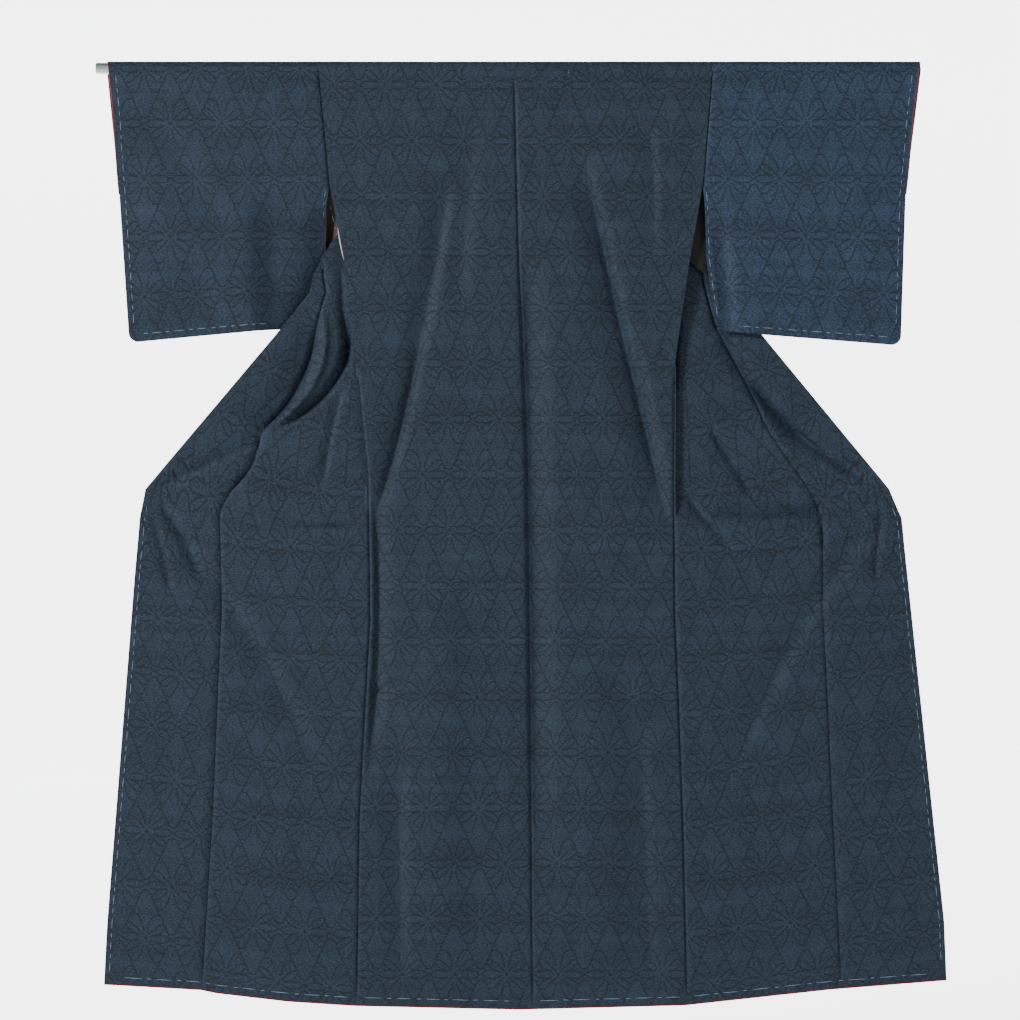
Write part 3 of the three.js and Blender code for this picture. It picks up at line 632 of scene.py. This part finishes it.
garment = {}
for side, sign in (("left", -1), ("right", 1)):
    shares = np.concatenate([
        (1 - NECK_SHARE) * np.linspace(0, 1, FRONT_COLUMNS + 1) ** 1.2,
        1 - NECK_SHARE * np.linspace(1, 0, NECK_COLUMNS + 1)[1:] ** 1.15])
    heights = BODY_ROWS[:, None] + 0 * shares
    edge = sign * read(SIDE_EDGE, "z", side, heights)
    centre = read(CENTRE_SEAM, "z", "x", heights)
    back_x = mix(edge, centre, shares)
    back_y = outer_depth(back_x, heights) + soft(-16, -40, heights) * seam_groove(back_x - centre, heights)
    back_y += soft(SEAM_TOP_Z, SEAM_TOP_Z - 30, heights) * seam_groove(back_x - edge, heights)
    back_z = drop(back_x, heights)
    back = np.stack([back_x, back_y, back_z], -1)
    back_flat = np.stack([back_x - centre, back_z], -1)

    front = []
    front_flat = []
    for index, z in enumerate(BODY_ROWS):
        row = front_row(side, z)
        okumi_seam = panel_seam(side, z)
        with_okumi = row["total"] > okumi_seam + 4 and z < OKUMI_TIP_Z
        last = okumi_seam if with_okumi else row["total"]
        s = front_places(row, last)
        line = front_points(row, s)
        if z < SEAM_TOP_Z:
            line[:, 1] += seam_groove(s, z) * soft(SEAM_TOP_Z, SEAM_TOP_Z - 30, z)
        if with_okumi:
            line[:, 1] += seam_groove(s - last, z)
        if z <= SEAM_TOP_Z:
            line[0] = back[index, 0]
        front.append(line)
        front_flat.append(thread_places(s, okumi_seam, z))
    front = np.array(front)
    front_flat = np.array(front_flat)

    arc = np.linspace(0, math.pi, 13)[:, None]
    top_x = back[0, :FRONT_COLUMNS + 1, 0] + 0 * arc
    over = np.stack([top_x, -OVER_ROD * np.cos(arc) + 0 * top_x, OVER_ROD * np.sin(arc) + 0 * top_x], -1)
    over[0] = back[0, :FRONT_COLUMNS + 1]
    over[-1] = front[0]
    over_flat = np.stack([back_flat[0, :FRONT_COLUMNS + 1, 0] + 0 * arc, OVER_ROD * arc + 0 * top_x], -1)

    neck = int(np.argmin(np.abs(BODY_ROWS + 16)))
    grids = [
        (back[neck:], back_flat[neck:], 0),
        (back[:neck + 1, :FRONT_COLUMNS + 1], back_flat[:neck + 1, :FRONT_COLUMNS + 1], 0),
        (over, over_flat, 0),
        (front, front_flat, 2)]
    body = sheet_object(f"body_width_{side}", grids, (0, -1, 0))
    wall(body, CLOTH, [body_silk, white_lining, front_silk, white_lining, red_lining],
         lambda place: place.z < HEM_Z + HEM_FACING)
    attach(body, "root")
    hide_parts(f"body_{side}")
    garment[f"body_{side}"] = body


# Overlap panels: a narrow panel sewn to each front's edge, from its tip at the collar down to the
# hem. It is cut from the same silk and ends in the front edge of the kimono.
okumi_silk = kasuri_silk("kasuri_silk_okumi", "#151f28", "#293848", (262, -742))
OKUMI_COLUMNS = 30

for side, sign in (("left", -1), ("right", 1)):
    panel = []
    panel_flat = []
    for z in BODY_ROWS:
        if z > OKUMI_TIP_Z - 14:
            continue
        row = front_row(side, z)
        seam = panel_seam(side, z)
        s = np.linspace(seam, row["total"], OKUMI_COLUMNS + 1)
        s[1] = min(seam + 2.4, s[2] - 1) if s[2] - seam > 3 else s[1]
        line = front_points(row, s)
        line[:, 1] += seam_groove(s - seam, z) * soft(4, 12, row["total"] - seam)
        panel.append(line)
        panel_flat.append(thread_places(s, seam, z))
    okumi = sheet_object(f"overlap_panel_{side}", [(np.array(panel), np.array(panel_flat), 0)], (0, -1, 0))
    wall(okumi, CLOTH, [okumi_silk, white_lining, red_lining], lambda place: place.z < HEM_Z + HEM_FACING)
    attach(okumi, "root")
    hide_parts(f"okumi_{side}")
    garment[f"okumi_{side}"] = okumi


# Sleeves: one length of silk over the rod, sewn to the shoulder's edge, folded along the bottom
# and sewn shut below the mouth. The edge below the armhole stays open.
MOUTH_END_Z = -207
SLEEVE_NOMINAL_Z = -440
SLEEVE_CORNER = 14
SLEEVE_TURN = 2.5
MOUTH_INSET = 5.5
FACED_FROM = 570
SLEEVE_OUTER = [
    {"z": 11, "left": 669, "right": 669},
    {"z": -207, "left": 646, "right": 641},
    {"z": -440, "left": 630, "right": 633},
]
SLEEVE_INNER = [
    {"z": -191, "left": 302, "right": 309},
    {"z": -225, "left": 308, "right": 312},
    {"z": -314, "left": 311, "right": 315},
    {"z": -360, "left": 306, "right": 321},
    {"z": -440, "left": 302, "right": 335},
]
SLEEVE_BOTTOM = [
    {"share": 0, "left": -421, "right": -430},
    {"share": 0.25, "left": -426, "right": -436},
    {"share": 1, "left": -448, "right": -453},
]
SLEEVE_GAP = [
    {"z": 0, "y": 2 * OVER_ROD},
    {"z": -191, "y": 13},
    {"z": -430, "y": 2 * SLEEVE_TURN},
]
SLEEVE_PUSH = [
    {"z": -191, "left": 0, "right": 0},
    {"z": -235, "left": 8, "right": 0},
    {"z": -280, "left": 14, "right": 0},
    {"z": -340, "left": 17, "right": -1},
    {"z": -440, "left": 18, "right": -2},
]
SLEEVE_FOLDS = [
    fold((-310, -200), (-289, -342), (-384, -455), width=28, depth=14),
    fold((338, -235), (349, -345), (361, -480), width=20, depth=7),
    fold((322, -270), (330, -340), (338, -430), width=5, depth=-2),
    fold((-600, -60), (-520, -200), (-440, -300), width=40, depth=2.5),
    fold((600, -60), (540, -200), (450, -300), width=40, depth=2.5),
    fold((-560, -300), (-500, -350), (-480, -440), width=26, depth=2),
    fold((560, -260), (520, -340), (500, -440), width=26, depth=2),
]
# The right sleeve's silk is painted lighter and bluer than the left's: painted light that makes up for the
# lamps' fall-off towards the right.
sleeve_silk_with_painted_light = {
    "left": kasuri_silk("kasuri_silk_left_sleeve", "#15202a", "#2a394a", (520, -183)),
    "right": kasuri_silk("kasuri_silk_right_sleeve_painted_light", "#19242f", "#2f4156", (520, -183))}
# Painted shade: the sleeves' inner side has the colour of their red lining in shadow, dark brown on the left
# and near black on the right.
painted_shade_lining = {
    "left": lining_silk("brown_lining_silk_painted_shade", "#3b2c29", "#2c2120"),
    "right": lining_silk("near_black_lining_silk_painted_shade", "#151010", "#110d0d")}


def corner_rounding(height):
    """How far the rounded corner draws the mouth's edge in, at a height above the bottom."""
    left = np.clip(SLEEVE_CORNER - height, 0, SLEEVE_CORNER)
    return SLEEVE_CORNER - np.sqrt(SLEEVE_CORNER ** 2 - left ** 2)


def sleeve_points(side, share, nominal, far):
    """Points of a sleeve: share 0 is its inner edge and share 1 the mouth."""
    sign = -1 if side == "left" else 1
    bottom = read(SLEEVE_BOTTOM, "share", side, share) + SLEEVE_TURN
    lower = np.clip((MOUTH_END_Z - nominal) / (MOUTH_END_Z - SLEEVE_NOMINAL_Z), 0, 1)
    z = np.where(nominal > MOUTH_END_Z, nominal, mix(MOUTH_END_Z, bottom, lower))
    rounded = corner_rounding(z - bottom + SLEEVE_TURN)
    inset = MOUTH_INSET * (1 - soft(-50, MOUTH_END_Z, z))
    outer = read(SLEEVE_OUTER, "z", side, z) - rounded - (0 if far else inset)
    sewn_edge = read(SIDE_EDGE, "z", side, z)
    free_edge = np.where(z > ARMHOLE_Z, sewn_edge, read(SLEEVE_INNER, "z", side, z))
    inner = free_edge
    if far:
        # The far layer's free edge lies further in, behind the slit.
        reach = soft(ARMHOLE_Z, ARMHOLE_Z - 5, z) * soft(-345, -306, z)
        inner = mix(inner, sewn_edge - 5, reach * (z <= ARMHOLE_Z))
    across = mix(inner, outer, share)
    from_edge = (across - free_edge) / (outer - free_edge)
    push = read(SLEEVE_PUSH, "z", side, z) * (1 - soft(0.24, 0.4, from_edge))
    gap = read(SLEEVE_GAP, "z", "y", z)
    closing = soft(0.75, 1, share) * soft(-120, MOUTH_END_Z, z)
    shut_gap = mix(gap, 2 * SLEEVE_TURN, closing)
    near = read(BACK_DEPTH, "z", "y", z) + push + (gap - shut_gap) / 2
    x = sign * across
    calm = soft(0, -60, z) * (1 if far else soft(1.0, 0.93, share))
    near = near + calm * fold_depth(x, z, SLEEVE_FOLDS)
    seam = seam_groove(share * (outer - inner), z) * soft(-2, -10, z) * (z > ARMHOLE_Z - 4)
    y = near + shut_gap + 3.5 * reach * soft(0.16, 0.04, share) if far else near + seam
    return np.stack([x, y, z], -1)


for side, sign in (("left", -1), ("right", 1)):
    columns = np.concatenate([
        np.linspace(0, 0.04, 5), np.linspace(0.04, 0.95, 50)[1:], np.linspace(0.95, 1, 7)[1:]])
    rows = np.concatenate([
        np.linspace(0, MOUTH_END_Z, 32), np.linspace(MOUTH_END_Z, -424, 32)[1:],
        np.linspace(-424, SLEEVE_NOMINAL_Z, 11)[1:]])
    share, nominal = np.meshgrid(columns, rows)
    near = sleeve_points(side, share, nominal, False)
    far = sleeve_points(side, share, nominal, True)
    turn = np.linspace(0, math.pi, 7)[1:-1, None]
    low = near[-1]
    drawn_in = corner_rounding(SLEEVE_TURN * (1 - np.sin(turn))) - corner_rounding(SLEEVE_TURN)
    fold = np.stack([
        low[:, 0] - sign * columns * drawn_in,
        low[:, 1] + SLEEVE_TURN * (1 - np.cos(turn)),
        low[:, 2] - SLEEVE_TURN * np.sin(turn)], -1)
    arc = np.linspace(0, math.pi, 13)[1:-1, None]
    over = np.stack([
        mix(far[0][:, 0], near[0][:, 0], arc / math.pi),
        OVER_ROD * np.cos(arc) + 0 * near[0][:, 0],
        OVER_ROD * np.sin(arc) + 0 * near[0][:, 0]], -1)
    loop = np.concatenate([near, fold, far[::-1], over, near[:1]])
    lengths = np.concatenate([[0], np.cumsum(np.linalg.norm(np.diff(loop[:, 20], axis=0), axis=-1))])
    flat = np.stack([sign * loop[..., 0], -lengths[:, None] + 0 * loop[..., 0]], -1)
    shut = int(np.argmin(np.abs(rows - MOUTH_END_Z)))
    lowest = len(rows) + 2
    end = loop[:, -1]
    strip = np.array([[end[i], end[2 * lowest - i]] for i in range(shut, lowest + 1)])
    strip_flat = np.stack([strip[..., 1], strip[..., 2]], -1)
    sleeve = sheet_object(f"sleeve_of_silk_{side}", [(loop, flat, 0), (strip, strip_flat, 0)], (0, -1, 0))
    wall(sleeve, CLOTH, [sleeve_silk_with_painted_light[side], painted_shade_lining[side], red_lining],
         lambda place: abs(place.x) > FACED_FROM)
    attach(sleeve, "root")
    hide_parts(f"sleeve_{side}")
    garment[f"sleeve_{side}"] = sleeve


# Collar: a long band of the same silk folded double. It passes over the rod at the neck and runs
# down inside the edge of each front, where it ends in a straight cut.
COLLAR_CLOTH = 1.8
COLLAR_WIDTH = 55
COLLAR_TILT = 0.7
COLLAR_STANDOFF = 3.5
NECK_SEAM_Z = -16
NECK_BACK_Z = -8
NECK_EDGE = NECK_HALF + 0.6
NECK_INNER = 32
BAND_COLUMNS = 12
collar_silk = kasuri_silk("kasuri_silk_collar", "#151f28", "#293848", (20, -40))


def swung_depth(side, x, z):
    """Depth of a front's swung-out part at a place."""
    row = front_row(side, z)
    across, _, out = along_row(row, [row["total"]])
    back = min(max(0, out[0]), across[0] - abs(x))
    return front_points(row, [row["total"] - back])[0, 1]


ring = OVER_ROD - (COLLAR_CLOTH - CLOTH) / 2 - 0.05
arc = np.linspace(0, math.pi, 15)
profile = np.concatenate([
    [[-ring, NECK_SEAM_Z], [-ring, NECK_BACK_Z - 4]],
    np.stack([-ring * np.cos(arc), ring * np.sin(arc)], -1),
    [[ring, NECK_BACK_Z]]])
band = np.linspace(NECK_INNER, NECK_EDGE, BAND_COLUMNS + 1)
neck_x = np.concatenate([-band[::-1], np.linspace(-NECK_INNER, NECK_INNER, 9)[1:-1], band])
saddle = np.stack([
    neck_x + 0 * profile[:, :1],
    profile[:, :1] + 0 * neck_x,
    profile[:, 1:] + 0 * neck_x], -1)
saddle[0, :, 1] += 0.6
lengths = np.concatenate([[0], np.cumsum(np.linalg.norm(np.diff(profile, axis=0), axis=-1))])
saddle_flat = np.stack([neck_x + 0 * lengths[:, None], lengths[:, None] + 0 * neck_x], -1)
grids = [(saddle, saddle_flat, 0)]
collar_rows = [z for z in BODY_ROWS if COLLAR_END_Z <= z < NECK_BACK_Z]
for side, sign in (("left", -1), ("right", 1)):
    top = saddle[-1, :BAND_COLUMNS + 1] if side == "left" else saddle[-1, -BAND_COLUMNS - 1:][::-1]
    strap = [top]
    for z in collar_rows:
        row = front_row(side, z)
        tip, _, _ = along_row(row, [row["total"]])
        bent = min(row["angle"], max(0, (row["total"] - row["tuck"]) / row["radius"]))
        facing = row["angle"] - bent if z < CORNER_Z else math.pi
        swung = 1 - facing / math.pi
        stand = COLLAR_STANDOFF * swung
        out = 0.1 + 1.1 * swung
        across = tip[0] + out * math.cos(facing) - stand * math.sin(facing)
        edge_y = front_points(row, [row["total"]])[0, 1] + out * math.sin(facing) + stand * math.cos(facing)
        tilt = COLLAR_TILT * soft(CORNER_Z, -200, z)
        line = []
        for width in np.linspace(0, COLLAR_WIDTH, BAND_COLUMNS + 1):
            x = sign * (across - width * math.cos(tilt))
            low = z - width * math.sin(tilt)
            behind = swung_depth(side, x, low) + COLLAR_STANDOFF if width > 0 and swung > 0.9 else edge_y
            line.append([x, mix(edge_y, behind, soft(CORNER_Z - 30, -140, z)), low])
        strap.append(line)
    strap = np.array(strap)
    lengths = np.concatenate([[0], np.cumsum(np.linalg.norm(np.diff(strap[:, 4], axis=0), axis=-1))])
    width = np.linspace(0, COLLAR_WIDTH, BAND_COLUMNS + 1)
    grids.append((strap, np.stack([width + 0 * lengths[:, None], lengths[:, None] + 0 * width], -1), 0))
collar = sheet_object("folded_collar", grids, (0, -1, 0))
wall(collar, COLLAR_CLOTH, [collar_silk, collar_silk])
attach(collar, "root")
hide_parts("collar")


# Hem lining: the dark red silk facing is rolled out two or three millimetres below the hem, all
# the way along, so that it shows as a padded red edge.
HEM_ROLL = 3.3
hem_line = []
for side, sign in (("left", -1), ("right", 1)):
    row = front_row(side, HEM_Z)
    s = np.linspace(0, row["total"], 50)[1:]
    front = front_points(row, s)
    shares = np.linspace(0, 1, 40)[:-1] if side == "left" else np.linspace(0, 1, 40)
    edge = sign * read(SIDE_EDGE, "z", side, HEM_Z)
    back_x = mix(edge, read(CENTRE_SEAM, "z", "x", HEM_Z), shares)
    heights = np.full_like(back_x, HEM_Z)
    back = np.stack([back_x, outer_depth(back_x, heights), drop(back_x, heights)], -1)
    half = np.concatenate([front[::-1], back])
    hem_line.append(half if side == "left" else half[::-1])
hem_line = np.concatenate(hem_line)
turn = np.linspace(0, 2 * math.pi, 13)
roll_y = 1.25 * np.sin(turn)
roll_z = -HEM_ROLL / 2 - HEM_ROLL / 2 * np.cos(turn)
roll = hem_line[:, None, :] + np.stack([0 * turn, roll_y, roll_z], -1)[None]
along = np.cumsum(np.concatenate([[0], np.linalg.norm(np.diff(hem_line, axis=0), axis=-1)]))
roll_flat = np.stack([along[:, None] + 0 * turn, 3 * turn + 0 * along[:, None]], -1)
hem_roll = sheet_object("hem_lining_roll", [(roll, roll_flat, 0)], (0, -1, 0))
hem_roll.data.materials.append(red_lining)
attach(hem_roll, "root")
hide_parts("hem_lining")


# Sleeve-mouth linings: the same red silk is rolled out two millimetres past each mouth's edge.
MOUTH_ROLL = 1.2
for side, sign in (("left", -1), ("right", 1)):
    heights = np.linspace(MOUTH_END_Z, 0, 40)
    near = sleeve_points(side, np.ones_like(heights), heights, False)
    far = sleeve_points(side, np.ones_like(heights), heights, True)[::-1]
    arc = np.linspace(math.pi, 0, 13)[1:-1]
    over_x = mix(far[0, 0], near[-1, 0], arc / math.pi)
    over = np.stack([over_x, OVER_ROD * np.cos(arc), OVER_ROD * np.sin(arc)], -1)
    path = np.concatenate([near, over, far])
    path[:, 0] += sign * 0.6
    along = np.gradient(path, axis=0)
    along /= np.linalg.norm(along, axis=-1, keepdims=True)
    outward = np.cross(along, [sign, 0, 0])
    turn = np.linspace(0, 2 * math.pi, 11)[:, None]
    round_edge = np.cos(turn) * np.array([sign, 0, 0]) + np.sin(turn) * outward[:, None]
    roll = path[:, None] + MOUTH_ROLL * round_edge
    distance = np.concatenate([[0], np.cumsum(np.linalg.norm(np.diff(path, axis=0), axis=-1))])
    roll_flat = np.stack([3 * turn[:, 0] + 0 * distance[:, None], distance[:, None] + 0 * turn[:, 0]], -1)
    mouth = sheet_object(f"mouth_lining_{side}", [(roll, roll_flat, 0)], (sign, 0, 0))
    mouth.data.materials.append(red_lining)
    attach(mouth, "root")
    garment[f"mouth_{side}"] = mouth


# Lining sliver: at the foot of the left slit the back's white lining rolls out past its edge.
heights = np.linspace(-258, -318, 24)
widths = 2.4 * np.sin(math.pi * np.linspace(0, 1, 24)) ** 0.7 + 0.3
edge_x = -read(SIDE_EDGE, "z", "left", heights)
edge_y = outer_depth(edge_x, heights)
turn = np.linspace(0, 2 * math.pi, 11)
sliver = np.stack([
    edge_x[:, None] + 0.8 - widths[:, None] * (0.5 + 0.5 * np.cos(turn)),
    edge_y[:, None] + 1.3 + 0.5 * np.sin(turn),
    heights[:, None] + 0 * turn], -1)
sliver_flat = np.stack([3 * turn + 0 * heights[:, None], heights[:, None] + 0 * turn], -1)
rolled_out = sheet_object("lining_at_left_slit", [(sliver, sliver_flat, 0)], (1, 0, 0))
rolled_out.data.materials.append(white_lining)
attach(rolled_out, "root")


# Basting: pale blue-grey cotton tacking thread, a long and a short stitch in turn, still in along
# the hem, the front edges, the sleeves' mouths and bottoms and their free edges.
basting_thread, tree = new_material("cotton_basting_thread")
cotton = node(tree, "ShaderNodeBsdfPrincipled", {"Base Color": linear("#75889a"), "Roughness": 0.9,
                                                "Specular IOR Level": 0.2})
node(tree, "ShaderNodeOutputMaterial", {"Surface": cotton.outputs[0]})
THREAD = 0.5
PROUD = CLOTH / 2 + 0.25
HEM_STITCH = 31
EDGE_STITCH = 17
SHORT_STITCH = 8
STITCH_GAP = 6
bpy.ops.object.select_all(action="DESELECT")
bpy.ops.mesh.primitive_uv_sphere_add(segments=6, ring_count=4, radius=0.5)
stitch = bpy.context.object
stitch.name = "basting_stitch"
bpy.ops.object.shade_smooth()
stitch.data.materials.append(basting_thread)
draws = random.Random(7)


def baste(name, path, long_stitch):
    """A row of long and short stitches along a path on the side that faces the camera."""
    path = np.array(path)
    path[:, 1] -= PROUD
    distance = np.concatenate([[0], np.cumsum(np.linalg.norm(np.diff(path, axis=0), axis=-1))])
    at = draws.uniform(2, 10)
    row = []
    long = True
    while at < distance[-1] - long_stitch:
        length = (long_stitch if long else SHORT_STITCH) * draws.uniform(0.8, 1.15)
        ends = [Vector([np.interp(place, distance, path[:, axis]) for axis in range(3)])
                for place in (at, at + length)]
        ends[1].x += draws.uniform(-0.4, 0.4)
        ends[1].z += draws.uniform(-0.4, 0.4)
        run = ends[1] - ends[0]
        copy = stitch.copy()
        copy.data = stitch.data.copy()
        bpy.context.scene.collection.objects.link(copy)
        size = Matrix.Diagonal((run.length * MM, THREAD * 2 * MM, THREAD * MM, 1))
        turned = run.to_track_quat("X", "Y").to_matrix().to_4x4()
        copy.data.transform(Matrix.Translation((ends[0] + ends[1]) / 2 * MM) @ turned @ size)
        row.append(copy)
        at += length + STITCH_GAP * draws.uniform(0.8, 1.3)
        long = not long
    bpy.ops.object.select_all(action="DESELECT")
    for copy in row:
        copy.select_set(True)
    bpy.context.view_layer.objects.active = row[0]
    bpy.ops.object.join()
    row[0].name = name
    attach(row[0], "root")
    return row[0]


HEM_BASTING_Z = -1529
EDGE_INSET = 8
MOUTH_SHARE = 1 - 9 / 330
basted = {}
for side, sign in (("left", -1), ("right", 1)):
    row = front_row(side, HEM_BASTING_Z)
    outwards = front_points(row, np.linspace(8, row["total"] - EDGE_INSET, 60))
    hem_front = baste(f"basting_hem_{side}_front", outwards, HEM_STITCH)
    edge = sign * read(SIDE_EDGE, "z", side, HEM_BASTING_Z)
    back_x = np.linspace(edge - sign * 6, read(CENTRE_SEAM, "z", "x", HEM_BASTING_Z) + sign * 6, 50)
    heights = np.full_like(back_x, HEM_BASTING_Z)
    along_back = np.stack([back_x, outer_depth(back_x, heights), drop(back_x, heights)], -1)
    hem_back = baste(f"basting_hem_{side}_back", along_back, HEM_STITCH)
    down_edge = []
    for z in np.linspace(COLLAR_END_Z - 20, HEM_BASTING_Z, 60):
        row = front_row(side, z)
        down_edge.append(front_points(row, [row["total"] - EDGE_INSET])[0])
    front_edge = baste(f"basting_front_edge_{side}", down_edge, EDGE_STITCH)
    basted[f"body_{side}"] = [hem_front, hem_back]
    basted[f"okumi_{side}"] = [front_edge]
    heights = np.linspace(-6, SLEEVE_NOMINAL_Z + 12, 70)
    by_mouth = sleeve_points(side, np.full_like(heights, MOUTH_SHARE), heights, False)
    first = 0.3 if side == "left" else 0.12
    shares = np.linspace(first, 0.965, 50)
    along_bottom = sleeve_points(side, shares, np.full_like(shares, SLEEVE_NOMINAL_Z + 8), False)
    heights = np.linspace(ARMHOLE_Z - 4, -265 if side == "left" else -420, 30)
    free_edge = sleeve_points(side, np.full_like(heights, 0.014), heights, False)
    basted[f"sleeve_{side}"] = [
        baste(f"basting_mouth_{side}", by_mouth, EDGE_STITCH),
        baste(f"basting_sleeve_bottom_{side}", along_bottom, EDGE_STITCH),
        baste(f"basting_free_edge_{side}", free_edge, EDGE_STITCH)]
# Inside the left slit the far layer's lining is tacked with two rows of the same thread.
heights = np.linspace(ARMHOLE_Z - 8, -318, 30)
for name, inset in (("outer", 12), ("inner", 6)):
    across = read(SIDE_EDGE, "z", "left", heights) - 5 + inset
    layer = sleeve_points("left", np.zeros_like(heights), heights, True)
    layer[:, 0] = -across
    basted["sleeve_left"].append(baste(f"basting_in_left_slit_{name}", layer, EDGE_STITCH))
bpy.data.objects.remove(stitch)


# Floor and backdrop: one pale sheet, swept up far behind the kimono, with soft studio light. From
# just behind the kimono on it glows evenly with its own emission.
FLOOR_Z = -1.72
bpy.ops.object.select_all(action="DESELECT")
bpy.ops.mesh.primitive_plane_add(size=1, location=(0, 0.9, FLOOR_Z))
floor = bpy.context.object
floor.name = "studio_sweep"
floor.scale = (22, 14, 1)
bpy.ops.object.transform_apply(location=True, rotation=True, scale=True)
bpy.ops.object.mode_set(mode="EDIT")
bpy.ops.mesh.select_mode(type="EDGE")
bpy.ops.mesh.select_all(action="DESELECT")
bpy.ops.object.mode_set(mode="OBJECT")
for edge in floor.data.edges:
    edge.select = all(floor.data.vertices[v].co.y > 7 for v in edge.vertices)
bpy.ops.object.mode_set(mode="EDIT")
bpy.ops.mesh.extrude_region_move(TRANSFORM_OT_translate={"value": (0, 0, 9)})
bpy.ops.object.mode_set(mode="OBJECT")
curve = floor.modifiers.new("sweep", "BEVEL")
curve.width = 3
curve.segments = 16
curve.limit_method = "ANGLE"
bpy.ops.object.modifier_apply(modifier="sweep")
bpy.ops.object.shade_smooth()
paper, tree = new_material("backdrop_paper")
place = node(tree, "ShaderNodeTexCoord")
axes = node(tree, "ShaderNodeSeparateXYZ", {0: place.outputs["Object"]})
glow = node(tree, "ShaderNodeMapRange", {
    "Value": axes.outputs[1], "From Min": 0.1, "From Max": 0.75, "To Max": 4.0})
matt = node(tree, "ShaderNodeBsdfPrincipled", {
    "Base Color": linear("#f4f5f6"), "Roughness": 0.95, "Specular IOR Level": 0.0,
    "Emission Color": linear("#f4f5f6"), "Emission Strength": glow.outputs[0]})
node(tree, "ShaderNodeOutputMaterial", {"Surface": matt.outputs[0]})
floor.data.materials.append(paper)


def soft_light(name, place, target, size, power):
    """A square soft box at a place, turned to what it lights."""
    bpy.ops.object.light_add(type="AREA", location=place)
    lamp = bpy.context.object
    lamp.name = name
    lamp.visible_camera = False
    lamp.data.size = size
    lamp.data.energy = power
    lamp.rotation_euler = (Vector(target) - Vector(place)).to_track_quat("-Z", "Y").to_euler()


soft_light("key", (-6.2, -4.8, 2.3), (0, 0, -0.75), 1.7, 830)
soft_light("fill", (3.4, -4.6, 0.2), (0, 0, -0.8), 2.6, 80)

world = bpy.data.worlds.new("studio")
world.use_nodes = True
world.node_tree.nodes["Background"].inputs[0].default_value = linear("#eef1f4")
world.node_tree.nodes["Background"].inputs[1].default_value = 0.16
bpy.context.scene.world = world

# Cuts: how large each length of silk lies flat, and what it hangs from.
CUTS = [
    {"piece": "body_left", "width": 0.325, "length": 3.12, "area": 0.80},
    {"piece": "body_right", "width": 0.325, "length": 3.12, "area": 0.78},
    {"piece": "sleeve_left", "width": 0.348, "length": 0.93, "area": 0.31},
    {"piece": "sleeve_right", "width": 0.348, "length": 0.93, "area": 0.31},
]
for cut in CUTS:
    piece = cut["piece"]
    side = piece.split("_")[1]
    sewn_on = basted[piece] + ([garment[f"mouth_{side}"]] if "sleeve" in piece else [])
    sewn_on += [hem_roll, rolled_out] if piece == "body_left" else []
